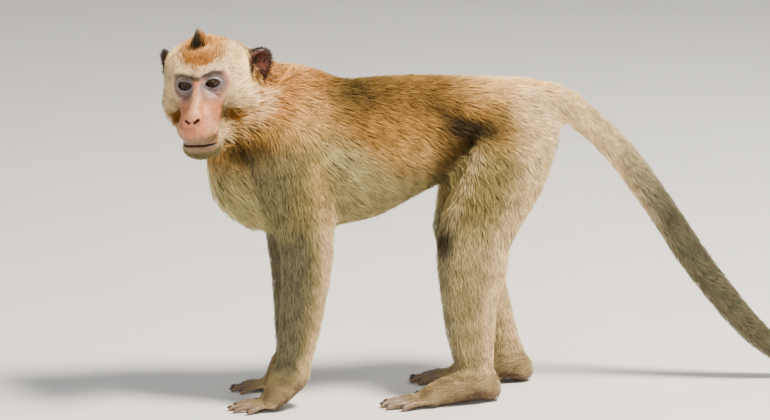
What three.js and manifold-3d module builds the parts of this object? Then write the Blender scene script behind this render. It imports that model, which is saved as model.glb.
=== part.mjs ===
// A life-size standing model of a long-tailed macaque, looking to its left over the shoulder.
// Millimetres. The animal faces -X, its left side is -Y, and +Z is up, with the palms and soles on z = 0.
// The outer surface, to the tips of the coat, is one smooth distance field made of named body parts.
// It is turned into triangles, thinned where it is flat, and parted into named pieces by thin cuts.
import * as THREE from "three";
import { mergeVertices } from "three/addons/utils/BufferGeometryUtils.js";
import Module from "manifold-3d";

const wasm = await Module();
wasm.setup();

// ---- Driving dimensions ----

const BACK_HEIGHT = 366; // floor to the coat on the middle of the back
const CUT = 0.35; // width of the thin cuts between pieces
const SOLE_FLAT = 0.7; // how far pads and fingertips are flattened by the floor
const HEAD_CENTRE = new THREE.Vector3(-203, -18, 379);
const HEAD_TURN = 68; // degrees to the animal's left
const HEAD_NOD = 12; // degrees down
const HEAD_TILT = 4; // degrees, left side up
const EYE_RADIUS = 9.4;
const EYE_SPACING = 16; // from the middle of the face to each eye's centre
const EYE_FORWARD = 29; // eye centres, ahead of the middle of the head

const rad = THREE.MathUtils.degToRad;

// ---- Distance fields: functions of x, y and z that are negative inside ----

const { hypot, max, min, abs, sign, sqrt } = Math;
const FAR = 40; // beyond this distance a limb's bounding box stands for it

function roundCone([ax, ay, az, ra], [bx, by, bz, rb]) {
  const [dx, dy, dz] = [bx - ax, by - ay, bz - az];
  const length2 = dx * dx + dy * dy + dz * dz;
  const taper = ra - rb;
  const slant2 = length2 - taper * taper;
  return (x, y, z) => {
    const [px, py, pz] = [x - ax, y - ay, z - az];
    const along = px * dx + py * dy + pz * dz;
    const beyond = along - length2;
    const across2 =
      (px * length2 - dx * along) ** 2 +
      (py * length2 - dy * along) ** 2 +
      (pz * length2 - dz * along) ** 2;
    const k = sign(taper) * taper * taper * across2;
    if (sign(beyond) * slant2 * beyond * beyond * length2 > k)
      return sqrt(across2 + beyond * beyond * length2) / length2 - rb;
    if (sign(along) * slant2 * along * along * length2 < k)
      return sqrt(across2 + along * along * length2) / length2 - ra;
    return (sqrt((across2 * slant2) / length2) + along * taper) / length2 - ra;
  };
}

function ellipsoid([cx, cy, cz], [rx, ry, rz]) {
  return (x, y, z) => {
    const [px, py, pz] = [x - cx, y - cy, z - cz];
    const outer = hypot(px / rx, py / ry, pz / rz);
    const inner = hypot(px / rx ** 2, py / ry ** 2, pz / rz ** 2);
    return inner < 1e-9 ? -min(rx, ry, rz) : (outer * (outer - 1)) / inner;
  };
}

const blendOf = (a, b, k) => {
  const h = max(k - abs(a - b), 0) / k;
  return min(a, b) - (h * h * k) / 4;
};

// Joins fields with a fillet about k wide.
const join = (k, ...fields) => (x, y, z) => {
  let d = fields[0](x, y, z);
  for (let i = 1; i < fields.length; i++) d = blendOf(d, fields[i](x, y, z), k);
  return d;
};

// Takes a field out of another, with the rim rounded by about k.
const hollow = (k, body, tool) => (x, y, z) => -blendOf(-body(x, y, z), tool(x, y, z), k);

// Cuts a line into a field, no deeper than depth.
const scored = (depth, body, line) => (x, y, z) => {
  const d = body(x, y, z);
  return d < -depth ? d : max(d, -line(x, y, z));
};

const min2 = (a, b) => (x, y, z) => min(a(x, y, z), b(x, y, z));

// The same on both sides of the middle plane.
const paired = (field) => (x, y, z) => field(x, abs(y), z);

// A limb along a smooth curve through stations [x, y, z, radius], thinner by the factor flat from side to side.
function limb(stations, flat = 1, k = 3) {
  const scaled = stations.map(([x, y, z, r]) => [x, y * flat, z, r]);
  const path = new THREE.CatmullRomCurve3(scaled.map(([x, y, z]) => new THREE.Vector3(x, y, z)));
  const radii = new THREE.SplineCurve(scaled.map(([, , , r], i) => new THREE.Vector2(i, r)));
  const steps = (stations.length - 1) * 3;
  const rings = Array.from({ length: steps + 1 }, (_, i) => {
    const p = path.getPoint(i / steps);
    return [p.x, p.y, p.z, radii.getPoint(i / steps).y];
  });
  const cones = rings.slice(1).map((ring, i) => roundCone(rings[i], ring));
  const field = join(k, ...cones);
  const bounds = [0, 1, 2].map((axis) => [
    min(...rings.map((ring) => ring[axis] - ring[3])),
    max(...rings.map((ring) => ring[axis] + ring[3])),
  ]);
  const outside = (v, [low, high]) => max(low - v, v - high, 0);
  return (x, y, z) => {
    const away = hypot(outside(x, bounds[0]), outside(y * flat, bounds[1]), outside(z, bounds[2]));
    return (away > FAR ? away : field(x, y * flat, z)) / flat;
  };
}

// A field given in a turned and shifted frame.
function placed(matrix, field) {
  const e = matrix.clone().invert().elements;
  return (x, y, z) =>
    field(
      e[0] * x + e[4] * y + e[8] * z + e[12],
      e[1] * x + e[5] * y + e[9] * z + e[13],
      e[2] * x + e[6] * y + e[10] * z + e[14],
    );
}

// The trunk runs along X through stations [x, top, bottom, half width].
function trunkLoft(stations) {
  const curve = (column) =>
    new THREE.SplineCurve(stations.map((s) => new THREE.Vector2(s[0], s[column])));
  const samples = 200;
  const [x0, x1] = [stations[0][0], stations.at(-1)[0]];
  const tables = [1, 2, 3].map((column) => {
    const points = curve(column).getPoints(samples * 4);
    const table = new Float64Array(samples + 1);
    let j = 0;
    for (let i = 0; i <= samples; i++) {
      const x = x0 + ((x1 - x0) * i) / samples;
      while (j < points.length - 2 && points[j + 1].x < x) j++;
      const [a, b] = [points[j], points[j + 1]];
      table[i] = a.y + (b.y - a.y) * min(max((x - a.x) / (b.x - a.x || 1), 0), 1);
    }
    return table;
  });
  const at = (table, x) => {
    const t = min(max((x - x0) / (x1 - x0), 0), 1) * samples;
    const i = min(Math.floor(t), samples - 1);
    return table[i] + (table[i + 1] - table[i]) * (t - i);
  };
  return (x, y, z) => {
    const [top, bottom, width] = tables.map((table) => at(table, x));
    const height = (top - bottom) / 2;
    const past = max(x0 - x, x - x1, 0);
    const ring = hypot(y / width, (z - (top + bottom) / 2) / height);
    return hypot(max((ring - 1) * min(width, height), 0), past) + min((ring - 1) * min(width, height), 0);
  };
}

// ---- Trunk, neck and tail ----

const trunk = join(
  30,
  trunkLoft([
    [-150, BACK_HEIGHT + 12, 220, 40],
    [-120, BACK_HEIGHT + 14, 199, 48],
    [-90, BACK_HEIGHT + 8, 194, 53],
    [-50, BACK_HEIGHT, 198, 55],
    [-10, BACK_HEIGHT, 207, 55],
    [30, BACK_HEIGHT + 1, 226, 53],
    [75, BACK_HEIGHT - 1, 249, 49],
    [120, BACK_HEIGHT - 5, 262, 48],
    [160, BACK_HEIGHT - 12, 276, 42],
    [182, BACK_HEIGHT - 22, 292, 32],
  ]),
  ellipsoid([-142, 0, 262], [58, 45, 62]),
);
const neck = limb([[-112, 4, 310, 64], [-150, 8, 326, 57], [-184, 2, 350, 48]], 1.15);

// Stations down the tail: it arches from the rump and its last third lies on the floor.
const TAIL = [
  [162, 0, 326, 26],
  [200, 0, 329, 19],
  [223, 0, 315, 17],
  [270, 0, 270, 17],
  [317, 0, 206, 17],
  [364, 0, 136, 17],
  [418, 1, 69, 15.5],
  [448, 2, 40, 13.5],
  [480, 5, 20, 12],
  [515, 9, 11.5, 11],
  [555, 17, 8.8, 9.2],
  [592, 29, 6.2, 6.5],
];
const tail = limb(TAIL);

// ---- Arms and legs ----

// A finger or toe on the floor, through points [x, y, lift], with its radius going from r0 to r1.
const digit = (points, r0, r1) => {
  const radius = (i) => r0 + ((r1 - r0) * i) / (points.length - 1);
  return limb(points.map(([x, y, lift = 0], i) => [x, y, radius(i) - SOLE_FLAT + lift, radius(i)]), 1, 2);
};

// The hand stands on its fingers, with the palm sloping up to the wrist.
// Local frame: +x ahead, +y towards the thumb, the wrist above the origin.
function hand() {
  const palm = limb([[-2, 0, 42, 16.5], [12, 0, 24, 15]], 0.95);
  const knuckles = join(6, ...[-11, -3, 5, 12].map((y) => roundCone([12, y * 0.8, 21, 9], [27, y, 8.4, 7.6])));
  const fingers = [
    [-13, 54, -19],
    [-5, 66, -6],
    [4, 68, 6],
    [12, 58, 18],
  ].map(([y, reach, spread]) => digit([[25, y, 1], [43, (y + spread) / 2, 3], [reach, spread]], 6.6, 4.6));
  const thumb = digit([[10, 15, 6], [21, 23, 1], [31, 28]], 6.2, 4.4);
  return join(3, join(7, palm, knuckles), ...fingers, thumb);
}

// The foot lies flat, and the great toe stands apart like a thumb.
// Local frame: +x ahead, +y towards the great toe, the ankle above the origin.
function foot() {
  const heel = roundCone([-13, 0, 14.4, 15], [4, 0, 28, 17]);
  const arch = limb([[4, 0, 23, 17], [34, -1, 15, 14.5], [60, -2, 10.5, 11]], 0.82);
  const toes = [
    [-15, 94, -20],
    [-7, 108, -8],
    [2, 110, 4],
    [11, 102, 15],
  ].map(([y, reach, spread]) => digit([[58, y, 1], [80, (y + spread) / 2, 5], [reach, spread]], 7.2, 5));
  const greatToe = digit([[22, 10, 5], [40, 24, 3], [58, 31]], 8.4, 5.8);
  return join(4, join(10, heel, arch), ...toes, greatToe);
}

// side is -1 for the left limb and 1 for the right one, and the last number turns the hand or foot outwards.
const ARMS = {
  left: {
    side: -1,
    stations: [
      [-121, 34, 286, 42],
      [-104, 43, 232, 37],
      [-95, 46, 180, 30],
      [-99, 46, 125, 26],
      [-107, 44, 70, 22],
      [-113, 42, 40, 18],
    ],
    tip: [-113, 42, 8],
  },
  right: {
    side: 1,
    stations: [
      [-120, 34, 286, 42],
      [-106, 43, 232, 36],
      [-98, 46, 178, 29],
      [-96, 46, 125, 25],
      [-97, 44, 70, 21.5],
      [-98, 42, 40, 18],
    ],
    tip: [-98, 42, 6],
  },
};
const LEGS = {
  left: {
    side: -1,
    stations: [
      [142, 28, 298, 50],
      [127, 36, 262, 52],
      [107, 44, 222, 46],
      [94, 46, 184, 41],
      [92, 46, 156, 40],
      [89, 46, 122, 33],
      [90, 46, 80, 28],
      [95, 46, 38, 21.5],
    ],
    tip: [98, 46, 10],
  },
  right: {
    side: 1,
    stations: [
      [142, 28, 298, 50],
      [128, 36, 262, 51],
      [113, 44, 222, 45],
      [105, 46, 184, 40],
      [108, 46, 156, 38],
      [117, 46, 122, 31],
      [131, 44, 80, 26],
      [146, 43, 40, 21.5],
    ],
    tip: [152, 43, 6],
  },
};
const ARM_FLAT = 1.35;
const LEG_FLAT = 1.5;

const sideLimb = ({ side, stations }, flat) => limb(stations.map(([x, y, z, r]) => [x, side * y, z, r]), flat);

// Puts a hand or foot, made for the right side, under its limb.
const underLimb = ({ side, tip: [x, y, outwards] }, field) =>
  placed(
    new THREE.Matrix4()
      .makeTranslation(x, side * y, 0)
      .multiply(new THREE.Matrix4().makeRotationZ(rad(180 - side * outwards)))
      .multiply(new THREE.Matrix4().makeScale(1, side, 1)),
    field,
  );

// ---- Head: +x to the nose, +y to the animal's left, +z up, from the middle of the head ----

const HEAD_POSE = new THREE.Matrix4()
  .makeTranslation(HEAD_CENTRE)
  .multiply(new THREE.Matrix4().makeRotationZ(rad(180 + HEAD_TURN)))
  .multiply(new THREE.Matrix4().makeRotationY(rad(HEAD_NOD)))
  .multiply(new THREE.Matrix4().makeRotationX(rad(HEAD_TILT)));

function headField() {
  const skull = join(
    14,
    ellipsoid([-12, 0, 2], [45, 40, 31]),
    paired(ellipsoid([-8, 16, 4], [38, 32, 27])),
    ellipsoid([19, 0, -10], [27, 35, 29]),
    paired(ellipsoid([-4, 28, -32], [26, 25, 37])),
  );
  const crest = join(8, roundCone([-6, 3, 24, 15], [-2, 5, 40, 5]), roundCone([2, -3, 32, 6], [6, -1, 52, 1.6]));
  const muzzle = join(
    10,
    roundCone([22, 0, -30, 26], [55, 0, -41, 20]),
    ellipsoid([60, 0, -44], [18, 21.5, 13]),
    paired(roundCone([2, 24, -52, 12], [46, 9, -66, 10.5])),
    ellipsoid([53, 0, -67], [17, 17, 11.5]),
  );
  const bridge = limb([[35, 0, 6, 6], [50, 0, -9, 7], [70, 0, -24, 7.5]], 0.85);
  const nose = join(5, ellipsoid([73, 0, -27], [7, 8, 6]), paired(ellipsoid([71, 6.5, -30], [5, 4.5, 4.5])));
  const brow = join(8, ellipsoid([33, 0, 13], [9, 12, 6]), paired(ellipsoid([31, 17, 13], [9, 13, 6.5])));
  const sockets = paired(ellipsoid([44, EYE_SPACING + 1, -1], [9, 11, 9]));
  const face = hollow(9, join(8, join(14, skull, join(12, muzzle, bridge)), brow, nose), sockets);
  const lids = paired(ellipsoid([EYE_FORWARD, EYE_SPACING, 0], [11.4, 12, 11.6]));
  const slits = paired(ellipsoid([43, EYE_SPACING + 0.5, 0], [8, 8, 5]));
  const nostrils = paired(ellipsoid([78, 4.6, -31], [5, 2.3, 2]));
  const mouth = paired(ellipsoid([52, 0, -58], [30, 30, 1.4]));
  return join(5, scored(2.2, hollow(1, join(4, face, lids), min2(slits, nostrils)), mouth), crest);
}

// A cupped ear with a blunt upper corner. Local frame: +x the way it faces, +y away from the head, +z up.
function earField() {
  const leaf = join(8, ellipsoid([0, 6, 8], [5.5, 15, 14]), ellipsoid([0, 0, -8], [5.5, 11, 15]));
  const cup = join(6, ellipsoid([6, 6, 8], [7.5, 11, 10]), ellipsoid([6, 1, -7], [7.5, 7, 11]));
  return hollow(2, leaf, cup);
}
// The right ear is folded further back.
const EAR_SPOT = [-26, 50, -7];
const EAR_FOLD = { left: 38, right: 62 }; // degrees
const earPose = (name, side) =>
  HEAD_POSE.clone().multiply(
    new THREE.Matrix4()
      .makeTranslation(EAR_SPOT[0], side * EAR_SPOT[1], EAR_SPOT[2])
      .multiply(new THREE.Matrix4().makeRotationZ(rad(side * EAR_FOLD[name])))
      .multiply(new THREE.Matrix4().makeScale(1, side, 1)),
  );

// ---- The whole animal ----

const parts = {
  neck,
  trunk,
  tail,
  arm_left: sideLimb(ARMS.left, ARM_FLAT),
  arm_right: sideLimb(ARMS.right, ARM_FLAT),
  leg_left: sideLimb(LEGS.left, LEG_FLAT),
  leg_right: sideLimb(LEGS.right, LEG_FLAT),
};
const tips = join(
  4,
  underLimb(ARMS.left, hand()),
  underLimb(ARMS.right, hand()),
  underLimb(LEGS.left, foot()),
  underLimb(LEGS.right, foot()),
);
const torso = join(22, join(24, trunk, neck), tail);
const limbs = join(10, parts.arm_left, parts.arm_right, parts.leg_left, parts.leg_right);
const head = placed(HEAD_POSE, headField());
const fullBody = join(9, join(20, join(20, torso, limbs), head), tips);

// The coat lies open in front of the left ear, which is turned towards the shoulder.
const earHollow = placed(earPose("left", 1), ellipsoid([13, 9, 1], [14, 24, 27]));
const body = hollow(8, fullBody, earHollow);

// ---- From field to triangles ----

// Marching tetrahedra over a lattice of the given step, inside the box [low, high].
function triangulate(field, [low, high], step) {
  const counts = low.map((v, i) => Math.ceil((high[i] - v) / step) + 1);
  const [nx, ny, nz] = counts;
  const index = (i, j, k) => (k * ny + j) * nx + i;
  const values = new Float32Array(nx * ny * nz).fill(step);
  const place = (i, axis) => low[axis] + i * step;
  const BLOCK = 6;
  const reach = BLOCK * step * 1.15;
  for (let k = 0; k < nz; k += BLOCK)
    for (let j = 0; j < ny; j += BLOCK)
      for (let i = 0; i < nx; i += BLOCK) {
        const middle = field(place(i + BLOCK / 2, 0), place(j + BLOCK / 2, 1), place(k + BLOCK / 2, 2));
        const near = abs(middle) < reach;
        for (let c = k; c < min(k + BLOCK, nz); c++)
          for (let b = j; b < min(j + BLOCK, ny); b++)
            for (let a = i; a < min(i + BLOCK, nx); a++) {
              const edge = !a || !b || !c || a === nx - 1 || b === ny - 1 || c === nz - 1;
              const value = near ? field(place(a, 0), place(b, 1), place(c, 2)) : middle;
              values[index(a, b, c)] = edge ? max(value, step / 10) : value || 1e-4;
            }
      }
  const points = [];
  const faces = [];
  const made = new Map();
  const lattice = (v) => [v % nx, Math.floor(v / nx) % ny, Math.floor(v / (nx * ny))];
  const crossing = (u, v) => {
    const key = u < v ? u * values.length + v : v * values.length + u;
    if (!made.has(key)) {
      const t = min(max(values[u] / (values[u] - values[v]), 0.04), 0.96);
      const [a, b] = [lattice(u), lattice(v)];
      made.set(key, points.length / 3);
      for (let axis = 0; axis < 3; axis++) points.push(low[axis] + (a[axis] + (b[axis] - a[axis]) * t) * step);
    }
    return made.get(key);
  };
  const orders = [[0, 1, 2], [0, 2, 1], [1, 0, 2], [1, 2, 0], [2, 0, 1], [2, 1, 0]];
  const even = [true, false, false, true, true, false];
  for (let k = 0; k < nz - 1; k++)
    for (let j = 0; j < ny - 1; j++)
      for (let i = 0; i < nx - 1; i++) {
        const base = index(i, j, k);
        const far = index(i + 1, j + 1, k + 1);
        const inside = values[base] < 0;
        let mixed = false;
        for (let c = 0; c < 8 && !mixed; c++)
          mixed = values[index(i + (c & 1), j + ((c >> 1) & 1), k + (c >> 2))] < 0 !== inside;
        if (!mixed) continue;
        orders.forEach((order, n) => {
          const strides = [1, nx, nx * ny];
          const b = base + strides[order[0]];
          const c = b + strides[order[1]];
          const corners = even[n] ? [base, b, c, far] : [base, c, b, far];
          const inner = corners.filter((v) => values[v] < 0);
          if (!inner.length || inner.length === 4) return;
          tetrahedron(corners, values, crossing, faces);
        });
      }
  return { points, faces };
}

// The faces of one tetrahedron, turned so that they look outwards.
function tetrahedron([a, b, c, d], values, crossing, faces) {
  const turns = [[a, b, c, d], [b, a, d, c], [c, d, a, b], [d, c, b, a]];
  const signs = (v) => values[v] < 0;
  const count = [a, b, c, d].filter(signs).length;
  if (count === 1 || count === 3) {
    const [p, q, r, s] = turns.find((t) => signs(t[0]) === (count === 1));
    const ring = [crossing(p, q), crossing(p, r), crossing(p, s)];
    if (count === 3) ring.reverse();
    faces.push(...ring);
  } else {
    const pairs = [[a, b, c, d], [a, c, d, b], [a, d, b, c], [c, d, a, b], [d, b, a, c], [b, c, a, d]];
    const [p, q, r, s] = pairs.find((t) => signs(t[0]) && signs(t[1]));
    const ring = [crossing(p, r), crossing(p, s), crossing(q, s), crossing(q, r)];
    faces.push(ring[0], ring[1], ring[2], ring[0], ring[2], ring[3]);
  }
}

// ---- Thinning the triangles ----

// A smallest-first queue of [cost, ...] items.
class Queue {
  items = [];
  push(item) {
    const { items } = this;
    let i = items.push(item) - 1;
    while (i > 0) {
      const up = (i - 1) >> 1;
      if (items[up][0] <= item[0]) break;
      items[i] = items[up];
      i = up;
    }
    items[i] = item;
  }
  pop() {
    const { items } = this;
    const first = items[0];
    const item = items.pop();
    const count = items.length;
    let i = 0;
    while (count) {
      let down = 2 * i + 1;
      if (down >= count) break;
      if (down + 1 < count && items[down + 1][0] < items[down][0]) down++;
      if (item[0] <= items[down][0]) break;
      items[i] = items[down];
      i = down;
    }
    if (count) items[i] = item;
    return first;
  }
}

const minus = (p, q) => [p[0] - q[0], p[1] - q[1], p[2] - q[2]];
const cross = (p, q) => [p[1] * q[2] - p[2] * q[1], p[2] * q[0] - p[0] * q[2], p[0] * q[1] - p[1] * q[0]];
const dot = (p, q) => p[0] * q[0] + p[1] * q[1] + p[2] * q[2];
const faceNormal = (p, q, r) => cross(minus(q, p), minus(r, p)); // as long as twice the area

// The squared distance to a plane, times its area, as the 10 numbers of a symmetric 4 x 4 matrix.
function planeError(p, q, r) {
  const normal = faceNormal(p, q, r);
  const size = hypot(...normal) || 1e-12;
  const [a, b, c] = normal.map((v) => v / size);
  const d = -dot([a, b, c], p);
  return [a * a, a * b, a * c, a * d, b * b, b * c, b * d, c * c, c * d, d * d].map((v) => v * size);
}

const errorAt = (e, [x, y, z]) =>
  e[0] * x * x + e[4] * y * y + e[7] * z * z + e[9] +
  2 * (e[1] * x * y + e[2] * x * z + e[5] * y * z + e[3] * x + e[6] * y + e[8] * z);

// The point of least error for an edge, or the best of its ends and middle where the surface is flat.
function bestPoint(e, p, q) {
  const middle = p.map((v, i) => (v + q[i]) / 2);
  const m = new THREE.Matrix3().set(e[0], e[1], e[2], e[1], e[4], e[5], e[2], e[5], e[7]);
  const size = e[0] + e[4] + e[7];
  if (abs(m.determinant()) > 1e-4 * size ** 3) {
    const best = new THREE.Vector3(-e[3], -e[6], -e[8]).applyMatrix3(m.invert()).toArray();
    if (hypot(...minus(best, middle)) < 2 * hypot(...minus(p, q))) return best;
  }
  return [p, q, middle].reduce((a, b) => (errorAt(e, b) < errorAt(e, a) ? b : a));
}

const SHORT_FIRST = 1e-3; // how much the length of an edge adds to its cost

// Collapses the cheapest edges until count triangles are left, and never folds the surface.
function thinned({ points, faces }, count) {
  const at = Array.from({ length: points.length / 3 }, (_, i) => points.slice(3 * i, 3 * i + 3));
  const triangles = Array.from({ length: faces.length / 3 }, (_, i) => faces.slice(3 * i, 3 * i + 3));
  const around = at.map(() => new Set());
  const errors = at.map(() => new Array(10).fill(0));
  const age = new Uint32Array(at.length);
  triangles.forEach((triangle, f) => {
    const error = planeError(...triangle.map((v) => at[v]));
    for (const v of triangle) {
      around[v].add(f);
      errors[v] = errors[v].map((e, i) => e + error[i]);
    }
  });
  const neighbours = (v) => {
    const found = new Set();
    for (const f of around[v]) for (const w of triangles[f]) found.add(w);
    return found.delete(v) && found;
  };
  const queue = new Queue();
  const offer = (u, v) => {
    const error = errors[u].map((e, i) => e + errors[v][i]);
    const point = bestPoint(error, at[u], at[v]);
    const length = hypot(...minus(at[u], at[v]));
    queue.push([errorAt(error, point) + SHORT_FIRST * length ** 2, u, v, age[u], age[v], point, error]);
  };
  const folds = (u, v, point) =>
    [...around[u]].some((f) => {
      const triangle = triangles[f];
      if (triangle.includes(v)) return false;
      const before = faceNormal(...triangle.map((w) => at[w]));
      const after = faceNormal(...triangle.map((w) => (w === u ? point : at[w])));
      return dot(before, after) < 0.25 * hypot(...before) * hypot(...after) + 1e-9;
    });
  for (let v = 0; v < at.length; v++) for (const w of neighbours(v)) if (v < w) offer(v, w);
  let left = triangles.length;
  while (left > count && queue.items.length) {
    const [, u, v, ageU, ageV, point, error] = queue.pop();
    if (age[u] !== ageU || age[v] !== ageV) continue;
    const others = neighbours(v);
    const shared = [...neighbours(u)].filter((w) => others.has(w));
    if (shared.length !== 2 || folds(u, v, point) || folds(v, u, point)) continue;
    for (const f of [...around[v]]) {
      if (triangles[f].includes(u)) {
        for (const w of triangles[f]) around[w].delete(f);
        triangles[f] = null;
        left--;
      } else {
        triangles[f] = triangles[f].map((w) => (w === v ? u : w));
        around[u].add(f);
      }
    }
    around[v].clear();
    at[u] = point;
    errors[u] = error;
    age[u]++;
    age[v]++;
    for (const w of neighbours(u)) offer(u, w);
  }
  return { points: at.flat(), faces: triangles.filter(Boolean).flat() };
}

// ---- Solids ----

const solid = ({ points, faces }) =>
  new wasm.Manifold(
    new wasm.Mesh({
      numProp: 3,
      vertProperties: Float32Array.from(points),
      triVerts: Uint32Array.from(faces),
    }),
  );

function geometryOf(manifold) {
  const { vertProperties, triVerts } = manifold.getMesh();
  const geometry = new THREE.BufferGeometry();
  geometry.setAttribute("position", new THREE.BufferAttribute(vertProperties, 3));
  geometry.setIndex(new THREE.BufferAttribute(triVerts, 1));
  return geometry;
}

function fromGeometry(geometry) {
  const bare = geometry.clone();
  bare.deleteAttribute("normal");
  bare.deleteAttribute("uv");
  const { attributes, index } = mergeVertices(bare, 1e-4);
  return { points: [...attributes.position.array], faces: [...index.array] };
}

// Moves a surface out by a small width.
function grown({ points, faces }, width) {
  const geometry = new THREE.BufferGeometry();
  geometry.setAttribute("position", new THREE.Float32BufferAttribute(points, 3));
  geometry.setIndex(faces);
  geometry.computeVertexNormals();
  const normals = geometry.attributes.normal.array;
  return { points: points.map((v, i) => v + normals[i] * width), faces };
}

const largest = (manifold) => manifold.decompose().reduce((a, b) => (b.volume() > a.volume() ? b : a));

// The side of a plane that its normal points to, with half the cut taken off.
const beyond = (manifold, point, normal) => {
  const n = new THREE.Vector3(...normal).normalize();
  return manifold.trimByPlane(n.toArray(), n.dot(new THREE.Vector3(...point)) + CUT / 2);
};
const before = (manifold, point, normal) => beyond(manifold, point, normal.map((v) => -v));
const onFloor = (manifold) => manifold.trimByPlane([0, 0, 1], 0);

// ---- Named pieces ----

const pieces = {};
const boxAround = ([x, y, z], reach) => [
  [x - reach[0], y - reach[1], z - reach[2]],
  [x + reach[0], y + reach[1], z + reach[2]],
];
const wholeMesh = thinned(triangulate(body, [[-300, -130, -15], [615, 110, 455]], 7), 3700);
const wholeBody = onFloor(solid(wholeMesh));

// The head is parted from the neck behind the jaw and the ears.
const headPoint = (x, y, z) => new THREE.Vector3(x, y, z).applyMatrix4(HEAD_POSE).toArray();
const HEAD_CUT = [headPoint(0, 0, -27), minus(headPoint(0.74, 0, 0.67), headPoint(0, 0, 0))];
const headMesh = thinned(triangulate(body, [[-285, -125, 262], [-125, 62, 448]], 2.5), 2050);
const eyeBall = (side, radius) => {
  const ball = new THREE.SphereGeometry(radius, 12, 8);
  ball.rotateZ(rad(-90));
  ball.translate(EYE_FORWARD, side * EYE_SPACING, 0);
  return solid(fromGeometry(ball.applyMatrix4(HEAD_POSE)));
};
pieces.head = largest(
  largest(beyond(solid(headMesh), ...HEAD_CUT))
    .subtract(eyeBall(1, EYE_RADIUS + CUT))
    .subtract(eyeBall(-1, EYE_RADIUS + CUT)),
);
for (const [name, side] of [["left", 1], ["right", -1]]) {
  const ear = placed(earPose(name, side), earField());
  const middle = headPoint(EAR_SPOT[0], side * EAR_SPOT[1], EAR_SPOT[2]);
  const leaf = solid(thinned(triangulate(ear, boxAround(middle, [34, 34, 34]), 1.8), 240));
  const socket = solid(grown(headMesh, CUT)).add(solid(grown(wholeMesh, CUT)));
  pieces[`ear_${name}`] = largest(leaf.subtract(socket));
  pieces[`eye_${name}`] = eyeBall(side, EYE_RADIUS);
}

// Neck and tail are parted by planes across them.
const NECK_CUT = [[-100, 0, 380], [-0.72, 0, 0.69]];
const TAIL_CUTS = [
  [[180, 0, 362], [0.91, 0, 0.41]],
  [[270, 0, 270], [0.65, 0, -0.76]],
  [[364, 0, 136], [0.55, 0, -0.83]],
  [[452, 0, 37], [0.8, 0, -0.6]],
];
const headless = before(wholeBody, ...HEAD_CUT);
pieces.neck = largest(beyond(headless, ...NECK_CUT));
const neckless = before(headless, ...NECK_CUT);
let tailLeft = beyond(neckless, ...TAIL_CUTS[0]);
TAIL_CUTS.slice(1).forEach((cut, i) => {
  pieces[`tail_${i + 1}`] = largest(before(tailLeft, ...cut));
  tailLeft = beyond(tailLeft, ...cut);
});
pieces.tail_4 = largest(tailLeft);
let trunkLeft = largest(before(neckless, ...TAIL_CUTS[0]));

// Each limb is what lies nearer to its own bones than to any other part.
function limbCell(name) {
  const own = parts[name];
  const others = Object.keys(parts)
    .filter((other) => other !== name)
    .map((other) => parts[other]);
  const cell = (x, y, z) => (own(x, y, z) - min(...others.map((field) => field(x, y, z)))) / 2;
  return thinned(triangulate(cell, [[-190, -100, -20], [235, 100, 400]], 10), 180);
}

// A plane across a limb at one of its stations, level at the wrist and the ankle.
function across({ side, stations }, i) {
  const point = ([x, y, z]) => [x, side * y, z];
  const level = i === stations.length - 1;
  return [point(stations[i]), level ? [0, 0, -1] : minus(point(stations[i + 1]), point(stations[i - 1]))];
}

// Parts a limb at two of its stations into three pieces. The last one is made again with its digits in finer steps.
function limbPieces(name, limbShape, names, joints, reach, count) {
  const cell = limbCell(name);
  const whole = largest(trunkLeft.intersect(solid(cell)));
  trunkLeft = trunkLeft.subtract(solid(grown(cell, CUT)));
  const [upperCut, lowerCut] = joints.map((i) => across(limbShape, i));
  const [x, y] = limbShape.tip;
  const middle = [x - reach[0] + 32, limbShape.side * y, 0];
  const fine = thinned(triangulate(body, boxAround(middle, reach), 2.6), count);
  pieces[names[0]] = largest(before(whole, ...upperCut));
  pieces[names[1]] = largest(before(beyond(whole, ...upperCut), ...lowerCut));
  pieces[names[2]] = largest(beyond(onFloor(solid(fine)), ...lowerCut));
}
for (const side of ["left", "right"]) {
  const armNames = [`upper_arm_${side}`, `forearm_${side}`, `hand_${side}`];
  limbPieces(`arm_${side}`, ARMS[side], armNames, [2, 5], [56, 41, 60], 330);
  const legNames = [`thigh_${side}`, `shin_${side}`, `foot_${side}`];
  limbPieces(`leg_${side}`, LEGS[side], legNames, [3, 7], [76, 42, 62], 330);
}
pieces.trunk = largest(trunkLeft);

// ---- Meshes ----

const COLOURS = {
  head: "#b98c5a",
  ear: "#4a382f",
  eye: "#2c1c12",
  neck: "#b8813f",
  trunk: "#a8824f",
  upper_arm: "#a68b66",
  forearm: "#8f7b60",
  hand: "#5d5047",
  thigh: "#b59b72",
  shin: "#9c8767",
  foot: "#62554b",
  tail: "#9a8a72",
};
const group = new THREE.Group();
group.name = "long_tailed_macaque";
const box = new THREE.Box3();
for (const [name, manifold] of Object.entries(pieces)) {
  const colour = COLOURS[name.replace(/_(left|right|\d)$/, "")];
  const mesh = new THREE.Mesh(geometryOf(manifold), new THREE.MeshStandardMaterial({ color: colour, roughness: 0.8 }));
  mesh.name = name;
  box.expandByObject(mesh);
  group.add(mesh);
}

// The middle of the box round the animal, at the floor, is the origin.
const middle = box.getCenter(new THREE.Vector3());
for (const mesh of group.children) mesh.geometry.translate(-middle.x, -middle.y, 0);

export default group;
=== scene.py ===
import math
from collections import namedtuple

import bmesh
import bpy
import numpy as np
from mathutils import Matrix, Vector
from mathutils.bvhtree import BVHTree


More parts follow.
